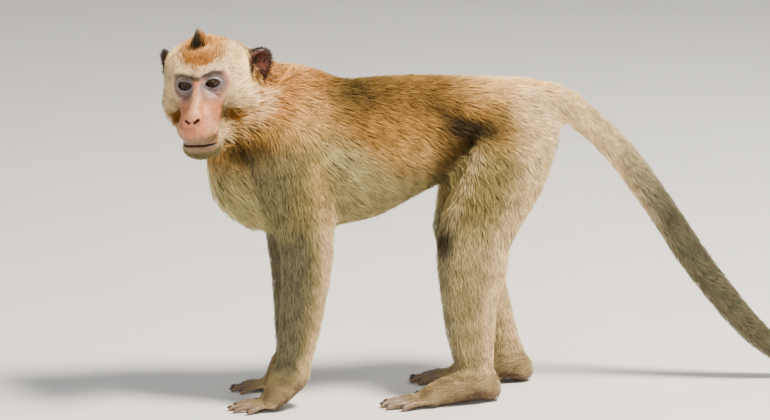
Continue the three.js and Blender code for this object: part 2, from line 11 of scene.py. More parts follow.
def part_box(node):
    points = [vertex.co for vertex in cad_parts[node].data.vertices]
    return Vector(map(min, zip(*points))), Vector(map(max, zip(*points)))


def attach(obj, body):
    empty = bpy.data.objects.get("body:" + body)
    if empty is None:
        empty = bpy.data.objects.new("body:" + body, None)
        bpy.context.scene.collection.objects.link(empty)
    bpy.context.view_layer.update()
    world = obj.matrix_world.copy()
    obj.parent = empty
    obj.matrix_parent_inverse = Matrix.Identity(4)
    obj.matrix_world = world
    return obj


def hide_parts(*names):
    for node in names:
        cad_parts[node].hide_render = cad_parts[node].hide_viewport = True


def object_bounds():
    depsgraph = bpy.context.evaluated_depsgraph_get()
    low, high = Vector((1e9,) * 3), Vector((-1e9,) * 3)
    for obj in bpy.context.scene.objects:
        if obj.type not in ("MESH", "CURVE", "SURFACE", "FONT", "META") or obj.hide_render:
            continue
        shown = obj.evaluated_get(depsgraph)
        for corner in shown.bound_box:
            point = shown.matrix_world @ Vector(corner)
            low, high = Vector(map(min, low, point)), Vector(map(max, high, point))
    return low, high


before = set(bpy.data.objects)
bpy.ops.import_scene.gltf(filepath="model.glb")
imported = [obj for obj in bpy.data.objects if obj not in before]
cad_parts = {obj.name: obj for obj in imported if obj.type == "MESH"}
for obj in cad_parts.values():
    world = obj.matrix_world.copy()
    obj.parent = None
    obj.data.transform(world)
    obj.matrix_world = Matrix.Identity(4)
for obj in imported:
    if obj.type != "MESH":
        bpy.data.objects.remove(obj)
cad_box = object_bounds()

# ----------------------------------------
# The plinth floor and the studio. The figure stands on a plain pale floor of matt board, lit by a
# broad soft lamp from above, weaker ones from before and behind and an even sky, and is seen from
# its left side, a little from above.

scene = bpy.context.scene
low, high = cad_box
length, height = high.x - low.x, high.z - low.z

VIEW_YAW, VIEW_FALL = -10.0, 11.5  # degrees round from the figure's left side, and down
VIEW_DISTANCE, VIEW_LENS = 5.0, 208.7  # metres, and millimetres
AIM_ALONG, AIM_UP = 0.2937, 0.5  # where the camera looks, as shares of the figure's length and height
aim = Vector((low.x + AIM_ALONG * length, 0.0, AIM_UP * height))
yaw, fall = math.radians(VIEW_YAW), math.radians(VIEW_FALL)
toward = Vector((math.sin(yaw) * math.cos(fall), -math.cos(yaw) * math.cos(fall), math.sin(fall)))
camera = bpy.data.objects.new("camera", bpy.data.cameras.new("camera"))
camera.data.lens = VIEW_LENS
camera.location = aim + toward * VIEW_DISTANCE
camera.rotation_euler = (-toward).to_track_quat("-Z", "Y").to_euler()
scene.collection.objects.link(camera)
scene.camera = camera

FLOOR_SIZE = 12.0
bpy.ops.mesh.primitive_plane_add(size=FLOOR_SIZE)
floor = bpy.context.object
floor.name = "floor"

LAMPS = {  # place and width in metres, power in watts, and colour
    "main_lamp": ((0.75, -0.85, 2.7), 0.7, 245, (1.0, 0.90, 0.75)),
    "front_lamp": ((-1.6, -2.2, 0.60), 0.3, 17, (1.0, 0.98, 0.96)),
    "back_lamp": ((1.3, 1.5, 1.8), 1.4, 22, (1.0, 0.97, 0.92)),
}
LAMPS_AIM = Vector((0, 0, 0.2))
SKY_COLOUR, SKY_STRENGTH = (0.86, 0.87, 0.88, 1), 0.44
for name, (lamp_place, width, power, colour) in LAMPS.items():
    light = bpy.data.objects.new(name, bpy.data.lights.new(name, "AREA"))
    light.data.shape = "DISK"
    light.data.size = width
    light.data.energy = power
    light.data.color = colour
    light.location = lamp_place
    light.rotation_euler = (LAMPS_AIM - Vector(lamp_place)).to_track_quat("-Z", "Y").to_euler()
    scene.collection.objects.link(light)
world = bpy.data.worlds.new("sky")
world.use_nodes = True
sky = world.node_tree.nodes["Background"]
sky.inputs["Color"].default_value = SKY_COLOUR
sky.inputs["Strength"].default_value = SKY_STRENGTH
scene.world = world


class Value:
    """A number from a shader node, so that sums are written as sums."""

    def __init__(self, paint, socket):
        self.paint, self.socket = paint, socket

    def worked(self, operation, other):
        return self.paint.node("ShaderNodeMath", {"operation": operation}, (self, other))

    def __add__(self, other):
        return self.worked("ADD", other)

    def __mul__(self, other):
        return self.worked("MULTIPLY", other)

    __radd__, __rmul__ = __add__, __mul__


class Paint:
    """A material's nodes. node() makes any node and gives one of its outputs, mostly the first."""

    def __init__(self, name, **constants):
        self.material = bpy.data.materials.new(name)
        self.material.use_nodes = True
        self.tree = self.material.node_tree
        self.surface = self.tree.nodes["Principled BSDF"]
        for socket, value in constants.items():
            self.surface.inputs[socket.replace("_", " ")].default_value = value

    def node(self, kind, settings, values=(), output=0):
        made = self.tree.nodes.new(kind)
        for key, value in settings.items():
            if key == "stops":
                self.set_stops(made.color_ramp.elements, value)
            else:
                setattr(made, key, value)
        pairs = values.items() if isinstance(values, dict) else enumerate(values)
        for key, value in pairs:
            self.put(made.inputs[key], value)
        return Value(self, made.outputs[output])

    def set_stops(self, elements, stops):
        for i, (place, colour) in enumerate(stops):
            element = elements[i] if i < len(elements) else elements.new(place)
            element.position = place
            element.color = (*colour, 1)

    def put(self, socket, value):
        if isinstance(value, Value):
            self.tree.links.new(value.socket, socket)
        else:
            socket.default_value = value

    def ramp(self, factor, *stops):
        return self.node("ShaderNodeValToRGB", {"stops": stops}, (factor,))

    def times(self, share, a, b):
        """Colour a multiplied by colour b, as far as share says."""
        settings = {"data_type": "RGBA", "blend_type": "MULTIPLY"}
        return self.node("ShaderNodeMix", settings, {0: share, 6: a, 7: b}, output=2)

    def noise(self, scale, detail):
        place = self.node("ShaderNodeTexCoord", {}, output="Object")
        return self.node("ShaderNodeTexNoise", {}, {"Vector": place, "Scale": scale, "Detail": detail})

    def blotches(self, scale, detail, *stops):
        return self.ramp(self.noise(scale, detail), *stops)

    def attribute(self, name, output="Fac"):
        return self.node("ShaderNodeAttribute", {"attribute_name": name}, output=output)

    def feed(self, socket, value):
        self.put(self.surface.inputs[socket], value)

    def bump(self, rise, distance, strength):
        values = {"Height": rise, "Distance": distance, "Strength": strength}
        self.feed("Normal", self.node("ShaderNodeBump", {}, values))


FLOOR_PALE, FLOOR_PALER = (0.72, 0.72, 0.70), (0.78, 0.78, 0.77)
floor_paint = Paint("pale_floor", Roughness=0.9)
floor_paint.feed("Base Color", floor_paint.blotches(9.0, 2.0, (0, FLOOR_PALE), (1, FLOOR_PALER)))
floor.data.materials.append(floor_paint.material)

# ----------------------------------------
# The skin. One closed hide over head, body, limbs and tail, as a museum modeller casts it.
# The body's solids are joined and evened out, let in by the depth of the coat that will lie on
# them, and the bare face is then modelled finely, with its lids, nostrils, lips and folds.

FLESH = sorted(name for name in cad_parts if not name.startswith("eye_"))
SWELL = 0.0004  # metres; closes the thin cuts between the solids
SKIN_GRAIN = 0.0019  # how fine the mesh of the skin is, in metres
FACE_CUTS = 2  # each face of the mesh is parted into 3 x 3 on the bare face


def plain_mesh(name, shape):
    """A mesh object at the origin, from a bmesh, which is used up."""
    mesh = bpy.data.meshes.new(name)
    shape.to_mesh(mesh)
    shape.free()
    made = bpy.data.objects.new(name, mesh)
    scene.collection.objects.link(made)
    return made


def add_to(whole, part):
    """Copies one bmesh into another."""
    carrier = bpy.data.meshes.new("carrier")
    part.to_mesh(carrier)
    whole.from_mesh(carrier)
    bpy.data.meshes.remove(carrier)


def box_middle(name):
    near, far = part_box(name)
    return (near + far) / 2


# Hands and feet have measures of their own, in millimetres from the floor under wrist and ankle:
# ahead, towards the thumb, and up. A digit is given by how far ahead and aside its root lies, how
# far ahead it bends, and how far ahead and aside its tip lies. Half its thickness is given at the
# root, the bend and the tip.
FINGERS = [(25, -13, 43, 54, -19), (25, -5, 43, 66, -6), (25, 4, 43, 68, 6), (25, 12, 43, 58, 18)]
TOES = [(58, -15, 80, 94, -20), (58, -7, 80, 108, -8), (58, 2, 80, 110, 4), (58, 11, 80, 102, 15)]
THUMB, GREAT_TOE = (10, 15, 21, 31, 28), (22, 10, 40, 58, 31)
FINGER_THICK, TOE_THICK = (4.5, 3.9, 3.5), (5.0, 4.4, 4.1)
THUMB_THICK, GREAT_TOE_THICK = (5.6, 4.7, 4.0), (7.4, 6.0, 5.2)
DIGIT_BALLS = 22  # balls strung along a digit
ROOT_RISE, BEND_RISE, TIP_SHIFT = 2.0, 2.6, 0.9
JOINTS = ((0.45, 0.07, 0.35), (0.76, 0.06, 0.3))  # share of the way, width of the joint, and added thickness
PAD_FLAT = 0.7  # how far the pads are flattened by the floor
LimbEnd = namedtuple("LimbEnd", "x y side outward palm digits thick thumb thumb_thick")
LIMB_ENDS = {  # place, side of the body, degrees turned outwards, and length of the palm or sole
    "hand_left": LimbEnd(-287.7, -36.9, -1, 8, 30, FINGERS, FINGER_THICK, THUMB, THUMB_THICK),
    "hand_right": LimbEnd(-272.7, 47.1, 1, 6, 30, FINGERS, FINGER_THICK, THUMB, THUMB_THICK),
    "foot_left": LimbEnd(-76.7, -40.9, -1, 10, 64, TOES, TOE_THICK, GREAT_TOE, GREAT_TOE_THICK),
    "foot_right": LimbEnd(-22.7, 48.1, 1, 6, 64, TOES, TOE_THICK, GREAT_TOE, GREAT_TOE_THICK),
}


def limb_place(end):
    """From the measures of a hand or foot to metres on the figure."""
    turned = Matrix.Rotation(math.radians(180 - end.side * end.outward), 4, "Z")
    mirrored = Matrix.Diagonal((1, end.side, 1, 1))
    return Matrix.Scale(0.001, 4) @ Matrix.Translation((end.x, end.y, 0)) @ (turned @ mirrored)


def digit_path(digit, thick):
    """Middles and half thicknesses along a digit, with its joints a little thicker."""
    start, aside, bend, reach, tip_aside = digit
    root = np.array([start, aside, thick[0] + ROOT_RISE])
    knuckle = np.array([bend, (aside + tip_aside) / 2, thick[1] + BEND_RISE])
    tip = np.array([reach + TIP_SHIFT, tip_aside + TIP_SHIFT, thick[2] - PAD_FLAT])
    for share in np.linspace(0, 1, DIGIT_BALLS):
        middle = root * (1 - share) ** 2 + 2 * share * (1 - share) * (2 * knuckle - (root + tip) / 2)
        joint = sum(more * math.exp(-(((share - at) / width) ** 2)) for at, width, more in JOINTS)
        yield middle + tip * share**2, float(np.interp(share, (0, 0.5, 1), thick)) + joint


def add_digit(mesh, place, digit, thick):
    for middle, half in digit_path(digit, thick):
        ball_place = place @ Matrix.Translation(Vector(middle)) @ Matrix.Scale(half, 4)
        bmesh.ops.create_icosphere(mesh, subdivisions=2, radius=1.0, matrix=ball_place)


flesh, forms = bmesh.new(), bmesh.new()  # as the solids are, and with slim digits
face_owner = []
for number, name in enumerate(FLESH):
    part = bmesh.new()
    part.from_mesh(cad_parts[name].data)
    bmesh.ops.remove_doubles(part, verts=part.verts, dist=1e-5)
    part.normal_update()
    for vertex in part.verts:
        vertex.co += vertex.normal * SWELL
    face_owner += [number] * len(part.faces)
    add_to(flesh, part)
    if name in LIMB_ENDS:
        end = LIMB_ENDS[name]
        place = limb_place(end)
        facing_digits = (place.to_3x3() @ Vector((1, 0, 0))).normalized()
        everything = part.verts[:] + part.edges[:] + part.faces[:]
        bmesh.ops.bisect_plane(
            part, geom=everything, clear_outer=True,
            plane_co=place @ Vector((end.palm, 0, 0)), plane_no=facing_digits)
        bmesh.ops.holes_fill(part, edges=[edge for edge in part.edges if edge.is_boundary])
        for digit in end.digits:
            add_digit(part, place, digit, end.thick)
        add_digit(part, place, end.thumb, end.thumb_thick)
        bmesh.ops.recalc_face_normals(part, faces=part.faces)
    add_to(forms, part)
    part.free()
flesh.faces.ensure_lookup_table()
flesh_tree = BVHTree.FromBMesh(flesh)
flesh.free()
rough_skin = plain_mesh("rough_skin", forms)
remesh = rough_skin.modifiers.new("evened", "REMESH")
remesh.mode = "VOXEL"
remesh.voxel_size = SKIN_GRAIN
evaluated = rough_skin.evaluated_get(bpy.context.evaluated_depsgraph_get())
skin_mesh = bpy.data.meshes.new_from_object(evaluated)
bpy.data.objects.remove(rough_skin)

# The head's own measures are in millimetres from the middle of the head: ahead, to its left and up.
EYE_AHEAD, HEAD_NOD, HEAD_TILT = 29.0, math.radians(12), math.radians(4)
left_eye, right_eye = box_middle("eye_left"), box_middle("eye_right")
across_eyes = left_eye - right_eye
EYE_ASIDE = across_eyes.length / 2 * 1000
EYE_BALL = (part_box("eye_left")[1].z - left_eye.z) * 1000
EYE_MIDDLE = (EYE_AHEAD, EYE_ASIDE, 0)
bowed = Matrix.Rotation(HEAD_NOD, 4, "Y") @ Matrix.Rotation(HEAD_TILT, 4, "X")
bowed_side = bowed @ Vector((0, 1, 0))
turn = math.atan2(across_eyes.y, across_eyes.x) - math.atan2(bowed_side.y, bowed_side.x)
head_turned = (Matrix.Rotation(turn, 4, "Z") @ bowed).to_3x3()
head_middle = (left_eye + right_eye) / 2 - head_turned @ Vector((EYE_AHEAD, 0, 0)) / 1000
HEAD_AXES = np.array(head_turned)


def in_head(points):
    """Points of the figure, in the head's measures."""
    return (points - np.array(head_middle)) @ HEAD_AXES * 1000


def from_head(points):
    """Points in the head's measures, back on the figure."""
    return points @ HEAD_AXES.T / 1000 + np.array(head_middle)


def lengths(vectors):
    return np.linalg.norm(vectors, axis=1)


# Distance fields over many points at once, negative inside.
def ball(p, centre, radii):
    q, radii = p - centre, np.array(radii, float)
    outer = lengths(q / radii)
    inner = lengths(q / radii**2) + 1e-9
    return outer * (outer - 1) / inner


def rod(p, a, ra, b, rb):
    a, b = np.array(a, float), np.array(b, float)
    share = np.clip((p - a) @ (b - a) / ((b - a) @ (b - a)), 0, 1)
    return lengths(p - a - share[:, None] * (b - a)) - (ra + (rb - ra) * share)


def blend(a, b, k):
    """Two shapes grown together, with a fillet k wide."""
    h = np.maximum(k - np.abs(a - b), 0) / k
    return np.minimum(a, b) - h * h * k / 4


def join(k, *shapes):
    whole = shapes[0]
    for shape in shapes[1:]:
        whole = blend(whole, shape, k)
    return whole


def hollow(k, whole, scoop):
    return -blend(-whole, scoop, k)


def ridge(distance, width):
    """1 on a line and 0 away from it."""
    return np.exp(-((distance / width) ** 2))


def glow(p, centre, size):
    """1 at a centre, fading to 0 over a size given for each direction."""
    return np.exp(-(((p - centre) / size) ** 2).sum(1))


def step(value, start, end):
    """0 at the start and 1 at the end, easing in and out."""
    share = np.clip((value - start) / (end - start), 0, 1)
    return share * share * (3 - 2 * share)


def lid_gap(side, up):
    """Distance to the opening between the lids, from their shared centre, in the plane of the face."""
    above = np.hypot(side, up + 3.9) - 8.6
    below = np.hypot(side, up - 4.4) - 8.8
    return np.maximum(above, below)


MOUTH_HEIGHT, MOUTH_CORNER, MOUTH_DROOP = -58.4, 18.0, 0.0095


def over_mouth(side, up):
    """Height over the line of the mouth, which droops a little towards its corners."""
    return up - MOUTH_HEIGHT + MOUTH_DROOP * side**2


FACE_LEAN, FACE_SHIFT = 0.075, 1.8  # the eyes sit a little askew and to the left of the nose


def evened(p):
    """Points in the head's measures, with the lean of the upper face taken out."""
    x, y, z = p.T
    share = step(x, 5, 22) * step(z, -30, -8)
    return np.stack([x, y - share * FACE_SHIFT, z - share * FACE_LEAN * y], 1)


def both_sides(p):
    """Points with the right half folded over onto the left."""
    return p * (1, 0, 1) + np.abs(p) * (0, 1, 0)


def head_shape(p):
    """The head's own form, out to the tips of its coat."""
    m = both_sides(evened(p))
    skull = join(14, ball(m, (-12, 0, 2), (45, 40, 31)), ball(m, (-8, 16, 4), (38, 32, 27)),
                 ball(m, (19, 0, -10), (27, 35, 29)), ball(m, (-4, 28, -32), (26, 25, 37)))
    muzzle = join(10, rod(m, (22, 0, -30), 26, (55, 0, -41), 20), ball(m, (60, 0, -44), (18, 21.5, 13)),
                  rod(m, (2, 24, -52), 12, (46, 9, -66), 10.5), ball(m, (53, 0, -66), (17, 18.5, 12.5)))
    bridge = join(4, rod(m, (35, 0, 6), 6, (50, 0, -9), 6.4), rod(m, (50, 0, -9), 6.4, (70, 0, -22), 6.4))
    nose = join(4, ball(m, (72.5, 0, -26), (6.5, 7.5, 6)), ball(m, (71, 6.3, -28), (4.8, 4.2, 4.4)))
    brow = join(8, ball(m, (33, 0, 13), (9, 12, 6)), ball(m, (31, 17, 13), (9, 13, 6.5)))
    socket = ball(m, (44, EYE_ASIDE + 1, -1), (9, 11, 9))
    face = hollow(8, join(6, join(12, skull, join(10, muzzle, bridge)), brow, nose), socket)
    from_eye = lengths(m - EYE_MIDDLE)
    face = join(3.5, face, from_eye - EYE_BALL - 1.5)
    gap = lid_gap(m[:, 1] - EYE_ASIDE, m[:, 2])
    opening = np.maximum(np.maximum(gap, EYE_AHEAD - m[:, 0]), EYE_BALL - 1.2 - from_eye)
    return hollow(0.7, face, opening)


def nostril_gap(m):
    """Distance from the middle line of a nostril, which rises outwards."""
    return rod(m * (0, 1, 1), (0, 3.4, -29.0), 0, (0, 7.0, -26.6), 0)


FACE_FOLDS = (  # how deep, from where, to where, and how wide
    (0.9, (71, 11.5, -25), (46, 24, -46), 1.6),  # from the nose round the muzzle
    (0.8, (46, 8, -5), (38, 27, -19), 1.4),  # under the eye
    (0.5, (56, 11, -16), (50, 21, -33), 1.3),  # down the cheek
    (0.5, (60, 9, -16), (66, 11, -22), 1.2),  # beside the nose
)


def relief(p):
    """How many millimetres creases, nostrils and lips are let into the bare face. Less than 0 stands out."""
    m = both_sides(evened(p))
    x, y, z = m.T
    from_eye = lengths(m - EYE_MIDDLE)
    gap = lid_gap(y - EYE_ASIDE, z)
    lids = (x > EYE_AHEAD) * step(from_eye, 20, 14) * (gap > 0.3)
    upper, lower = lids * step(z, -1, 2), lids * step(-z, -1, 2)
    # creases over and under the lids, and their raised rims
    let_in = 0.9 * ridge(gap - 3.8, 0.8) * upper + 0.5 * ridge(gap - 6.2, 0.7) * upper
    let_in += 0.6 * ridge(gap - 3.0, 0.8) * lower + 0.7 * ridge(gap - 6.4, 1.0) * lower
    let_in -= 0.5 * ridge(gap - 1.3, 0.8) * lids
    # nostrils, and the groove from nose to lip
    nostril = nostril_gap(m)
    let_in += (3.6 * step(nostril, 2.1, 0.6) - 0.5 * ridge(nostril - 3.0, 0.8)) * step(x, 64, 68)
    let_in += 0.7 * ridge(y, 1.2) * step(-z, 32, 36) * step(z, -54, -49) * step(x, 40, 50)
    # the mouth's line between two full lips, finely puckered
    from_mouth = over_mouth(y, z)
    lip = step(y, MOUTH_CORNER + 3, MOUTH_CORNER - 3) * step(x, 15, 30)
    let_in += 2.4 * ridge(from_mouth, 0.8) * lip
    let_in -= (0.8 * ridge(from_mouth - 2.6, 1.5) + 1.0 * ridge(from_mouth + 3.0, 1.8)) * lip
    let_in += 0.16 * np.sin(y * 2.4) * ridge(from_mouth - 4, 3.5) * lip
    # wrinkles on the bridge, round the eyes and over the cheeks
    let_in += 0.25 * np.sin(z * 2.4) * ridge(y, 7) * step(x, 28, 34) * step(z, -6, 2)
    let_in += 0.14 * np.sin(1.9 * (z + 0.5 * y)) * step(from_eye, 24, 18) * step(-z, 7, 10) * step(x, 20, 30)
    for deep, start, end, width in FACE_FOLDS:
        let_in += deep * ridge(rod(m, start, 0, end, 0), width)
    let_in += 0.6 * ridge(z - 8.5 - 0.25 * y, 1.2) * ridge(y, 5) * step(x, 25, 32)
    return let_in


def bare_face(p):
    """1 on the bare skin of the face, 0 under the coat, for points in the head's measures."""
    m = both_sides(evened(p))
    muzzle = rod(m, (38, 0, -20), 23.5, (60, 0, -48), 23.5)
    nose = rod(m, (50, 0, -10), 20, (70, 0, -28), 20)
    eyes = ball(m, (34, 18, -3), (18, 14, 14))
    inside = step(np.minimum(np.minimum(muzzle, nose), eyes), 7, -4)
    return inside * step(p[:, 0], 14, 26) * step(p[:, 2], -70, -62)


sculpt = bmesh.new()
sculpt.from_mesh(skin_mesh)
bpy.data.meshes.remove(skin_mesh)
rough_points = np.array([vertex.co for vertex in sculpt.verts])
shown_face = bare_face(in_head(rough_points)) > 0.02
fine_edges = [edge for edge in sculpt.edges if all(shown_face[vertex.index] for vertex in edge.verts)]
bmesh.ops.subdivide_edges(sculpt, edges=fine_edges, cuts=FACE_CUTS, use_grid_fill=True)
skin = plain_mesh("skin", sculpt)


def rows(things, field, width=3, kind=float):
    """A row of values for each point, edge or triangle of a mesh."""
    values = np.empty(len(things) * width, kind)
    things.foreach_get(field, values)
    return values.reshape(-1, width)


points = rows(skin.data.vertices, "co")
edges = rows(skin.data.edges, "vertices", 2, int)
count = len(points)
valence = np.bincount(edges.ravel(), minlength=count)[:, None]


def neighbour_mean(values):
    """For each point of the skin, the mean of its neighbours' values."""
    total = np.empty_like(values)
    for column in range(values.shape[1]):
        total[:, column] = np.bincount(edges[:, 0], values[edges[:, 1], column], count)
        total[:, column] += np.bincount(edges[:, 1], values[edges[:, 0], column], count)
    return total / valence


def spread(values, rounds):
    for _ in range(rounds):
        values = (values + neighbour_mean(values)) / 2
    return values


def smoothed(places, rounds, share):
    """Evens out the surface where share is 1, without shrinking it."""
    for _ in range(rounds):
        places = places + 0.5 * share * (neighbour_mean(places) - places)
        places = places - 0.52 * share * (neighbour_mean(places) - places)
    return places


def normals_of(places):
    skin.data.vertices.foreach_set("co", places.ravel())
    skin.data.update()
    return rows(skin.data.vertex_normals, "vector")


# Each point of the skin belongs to the part of the body that it lies nearest to.
owner = np.array([face_owner[flesh_tree.find_nearest(Vector(p))[2]] for p in points])
zone = {name: spread((owner == n).astype(float)[:, None], 10)[:, 0] for n, name in enumerate(FLESH)}


def zones(*starts):
    """1 on the parts of the body whose names begin so, fading to 0 at their ends."""
    return sum(zone[name] for name in FLESH if name.startswith(starts))


small_parts = zones("hand", "foot", "ear", "head")[:, None]
CREST_FOOT = (-3.0, 2.0, 30.0)
crown = ridge(lengths(in_head(points) - CREST_FOOT), 24)[:, None]
NAPE_RIM = (-0.292, -0.020, 0.366)  # where the shoulder rises behind the left ear
nape_rim = ridge(lengths(points - NAPE_RIM) * 1000, 17)[:, None]
on_digit, hard_edges = np.zeros(count), nape_rim.copy()
THUMB_FREE = 9  # the ball of a thumb's path at which it leaves the palm
for name, end in LIMB_ENDS.items():
    own = owner == FLESH.index(name)
    to_limb = np.array(limb_place(end).inverted())
    ahead_on_limb = points @ to_limb[:3, :3].T[:, 0] + to_limb[0, 3]
    thumb_path = [middle for middle, _ in digit_path(end.thumb, end.thumb_thick)]
    on_limb = points @ to_limb[:3, :3].T + to_limb[:3, 3]
    from_thumb = rod(on_limb, thumb_path[THUMB_FREE], 0, thumb_path[-1], 0)
    on_thumb = step(from_thumb, end.thumb_thick[0] + 3, end.thumb_thick[0])
    on_this = np.maximum(step(ahead_on_limb, end.palm + 2, end.palm + 26), on_thumb)
    on_digit += np.where(own, on_this, 0)
    hard_edges[:, 0] += np.where(own, ridge(ahead_on_limb - end.palm - 1, 9), 0)
EDGE_ROUNDS, EVEN_ROUNDS, LAST_ROUNDS = 60, 30, 4
for _ in range(EDGE_ROUNDS):
    points = points + 0.5 * hard_edges * (neighbour_mean(points) - points)
points = smoothed(points, EVEN_ROUNDS, np.maximum(1 - 0.85 * small_parts, crown))
points = smoothed(points, LAST_ROUNDS, 1)
COAT_DEPTH = {"neck": 8, "trunk": 7.5, "upper_arm": 6, "forearm": 4.5, "thigh": 6.5, "shin": 4.5,
              "tail": 4.5, "hand": 0.6, "foot": 0.6, "ear": 0.3, "head": 0}  # millimetres
thin = step(zones("ear"), 0.0, 0.3)
depth = sum(deep * zones(part) for part, deep in COAT_DEPTH.items())
depth = spread(depth[:, None], 60)[:, 0] * (1 - thin) + COAT_DEPTH["ear"] * thin
normals = normals_of(points)

# The folds of the flank in front of the thigh and of the armpit, and the soft hollow over the haunch.
body = both_sides(points * 1000)


def crease(*knots):
    """Distance from a line through knots on the body, in millimetres; the same on both sides."""
    return np.min([rod(body, start, 0, end, 0) for start, end in zip(knots, knots[1:])], 0)


flank_fold = crease((-90, 50, 298), (-108, 52, 272), (-122, 48, 238))
armpit_fold = crease((-236, 52, 262), (-226, 44, 205))
haunch_groove = crease((-136, 38, 340), (-68, 46, 310))
depth = depth + 13.0 * ridge(flank_fold, 10) + 3.5 * ridge(armpit_fold, 8) + 4.0 * ridge(haunch_groove, 10)
SEAT_PAD, SEAT_PAD_SIZE = (9, 16, 284), (22, 9.5, 14)
seat_pad = step(glow(body, SEAT_PAD, SEAT_PAD_SIZE), 0.22, 0.45)
seat_pad = seat_pad * (1 - step(zones("tail"), 0.1, 0.4))
depth = depth * (1 - 0.6 * seat_pad) * (1 - 0.6 * nape_rim[:, 0])
points = points - spread(normals, 3) * depth[:, None] / 1000
points = smoothed(points, 4, 1 - small_parts)

# The head is drawn onto its own fine shape.
HEAD_DEPTH = 5.5  # millimetres of coat over skull and cheeks
local = in_head(points)
of_head = step(zones("head"), 0.35, 0.9) * (1 - step(zones("ear"), 0.05, 0.5))
chosen = np.flatnonzero(of_head > 0.01)
drawn_points, weight = local[chosen], of_head[chosen]


def head_skin(p):
    return head_shape(p) + HEAD_DEPTH * (1 - bare_face(p)) * step(-p[:, 0], -62, -20)


def slope_of(p, here):
    slope = np.stack([head_skin(p + shift) - here for shift in np.eye(3) * 0.05], 1) / 0.05
    return slope / np.maximum((slope**2).sum(1, keepdims=True), 0.3)


for _ in range(4):
    here = head_skin(drawn_points)
    drawn_points = drawn_points - np.clip(here * weight, -3, 3)[:, None] * slope_of(drawn_points, here)
pressed = (relief(drawn_points) * bare_face(drawn_points))[:, None]
local[chosen] = drawn_points - pressed * slope_of(drawn_points, head_skin(drawn_points))
points = from_head(local)
head_seam = 4 * of_head * (1 - of_head)
points = smoothed(points, 10, head_seam[:, None])
points = np.where(points[:, 2:] < 0, points * (1, 1, 0), points)  # nothing goes below the floor
normals = normals_of(points)
skin.data.shade_smooth()


# Markings, the same on the skin and on the coat over it. Colours are given as they look in daylight.
def tint(red, green, blue):
    """A colour as light values, from the usual 0 to 255 scale."""
    shown = np.array([red, green, blue]) / 255
    return np.where(shown <= 0.04045, shown / 12.92, ((shown + 0.055) / 1.055) ** 2.4)


CREAM, PALE_GOLD, GOLD = tint(255, 232, 186), tint(244, 208, 142), tint(188, 146, 78)
ORANGE, BACK_BROWN, DARK_BROWN = tint(198, 132, 54), tint(132, 102, 50), tint(48, 40, 22)
OLIVE, GREY_OLIVE, OCHRE = tint(162, 148, 95), tint(122, 120, 100), tint(140, 94, 20)
SHADOW_OLIVE, BELLY_IN_SHADE, PALE_THIGH = tint(68, 58, 22), tint(190, 179, 130), tint(214, 198, 152)
TAIL_FUR, TAIL_GREY, HAND_FUR = tint(206, 190, 156), tint(90, 92, 70), tint(170, 152, 112)
CAP_FRONT, CHIN_FUR_IN_SHADE = tint(156, 102, 38), tint(98, 92, 50)
SKIN_PINK, SKIN_BRIDGE, SKIN_SHADE = tint(206, 134, 90), tint(222, 162, 120), tint(144, 90, 64)
SKIN_LILAC, LID_GREY, LIP_DARK = tint(130, 108, 102), tint(134, 132, 140), tint(54, 36, 26)
MUZZLE_BROWN_IN_SHADE, CHIN_OLIVE_IN_SHADE = tint(114, 92, 62), tint(110, 98, 60)
EAR_DARK, EAR_RED, PALM_GREY = tint(56, 38, 30), tint(112, 54, 38), tint(118, 96, 78)
SEAT_SKIN = tint(150, 116, 100)

wide_x, wide_y, wide_z = (points * 1000).T  # millimetres: towards the tail, to the right and up
facing = spread(normals, 6)
upward, backward = facing[:, 2], facing[:, 0]
head_points = evened(in_head(points))
ahead, aside, above = head_points.T
off_middle = np.abs(aside)


def spot(centre, size):
    """1 at a spot on the body, fading to 0, in millimetres; the same on both sides."""
    return glow(both_sides(points * 1000), centre, size)


def head_spot(centre, size):
    """1 at a spot on the head, in the head's measures; the same on both sides."""
    return glow(both_sides(head_points), centre, size)


marking = np.tile(GOLD, (count, 1))


def lay(mask, colour, most=1):
    """Lays a colour over the markings where mask is 1, or as much of it as most says."""
    marking[:] += np.clip(mask, 0, most)[:, None] * (colour - marking)


limbs = ("upper_arm", "forearm", "hand"), ("thigh", "shin", "foot"), ("tail",), ("hand", "foot")
arm, leg, tail, hand_or_foot = spread(np.stack([zones(*names) for names in limbs], 1), 70).T

# Back, belly, shoulders and haunches.
from_belly = wide_z - np.interp(wide_x, (-330, -245, -171, -120, 40), (282, 315, 269, 268, 270))
lay(0.8 * step(wide_z, 325, 352) * step(wide_x, -40, -140), BACK_BROWN)
lay(0.75 * spot((-218, 0, 350), (34, 60, 28)), SHADOW_OLIVE)
# the underside: pale fur, darkened to olive cream as painted shade
lay(step(from_belly, 20, -20), BELLY_IN_SHADE)
lay(0.9 * step(wide_x, -236, -282) * step(wide_z, 318, 350), ORANGE)
lay(0.85 * step(lengths(head_points), 90, 62) * step(ahead, -46, -28), PALE_GOLD)
lay(0.8 * spot((-276, 50, 322), (26, 40, 20)), PALE_GOLD)
# painted highlight: pale gold on the top of the nape and shoulders, where light falls from above
lay(0.5 * spot((-287, 6, 380), (26, 26, 16)), PALE_GOLD)
lay(0.55 * spot((-274, 34, 350), (22, 24, 16)), PALE_GOLD)
lay(0.95 * step(wide_x, -70, 15) * step(wide_z, 250, 300), CREAM)
# painted highlight: pale gold along the lit top of the back towards the rump
lay(0.85 * step(wide_x, -125, -50) * step(wide_z, 330, 350), PALE_GOLD)

# Arms: olive outside, grey before, darkened there as painted shade on the side away from the light, and
# cream behind.
lay(step(arm, 0.1, 0.8) * step(wide_z, 325, 268), OLIVE)
high_before = step(wide_z, 320, 290) * step(wide_z, 200, 240) * step(wide_x, -268, -300)
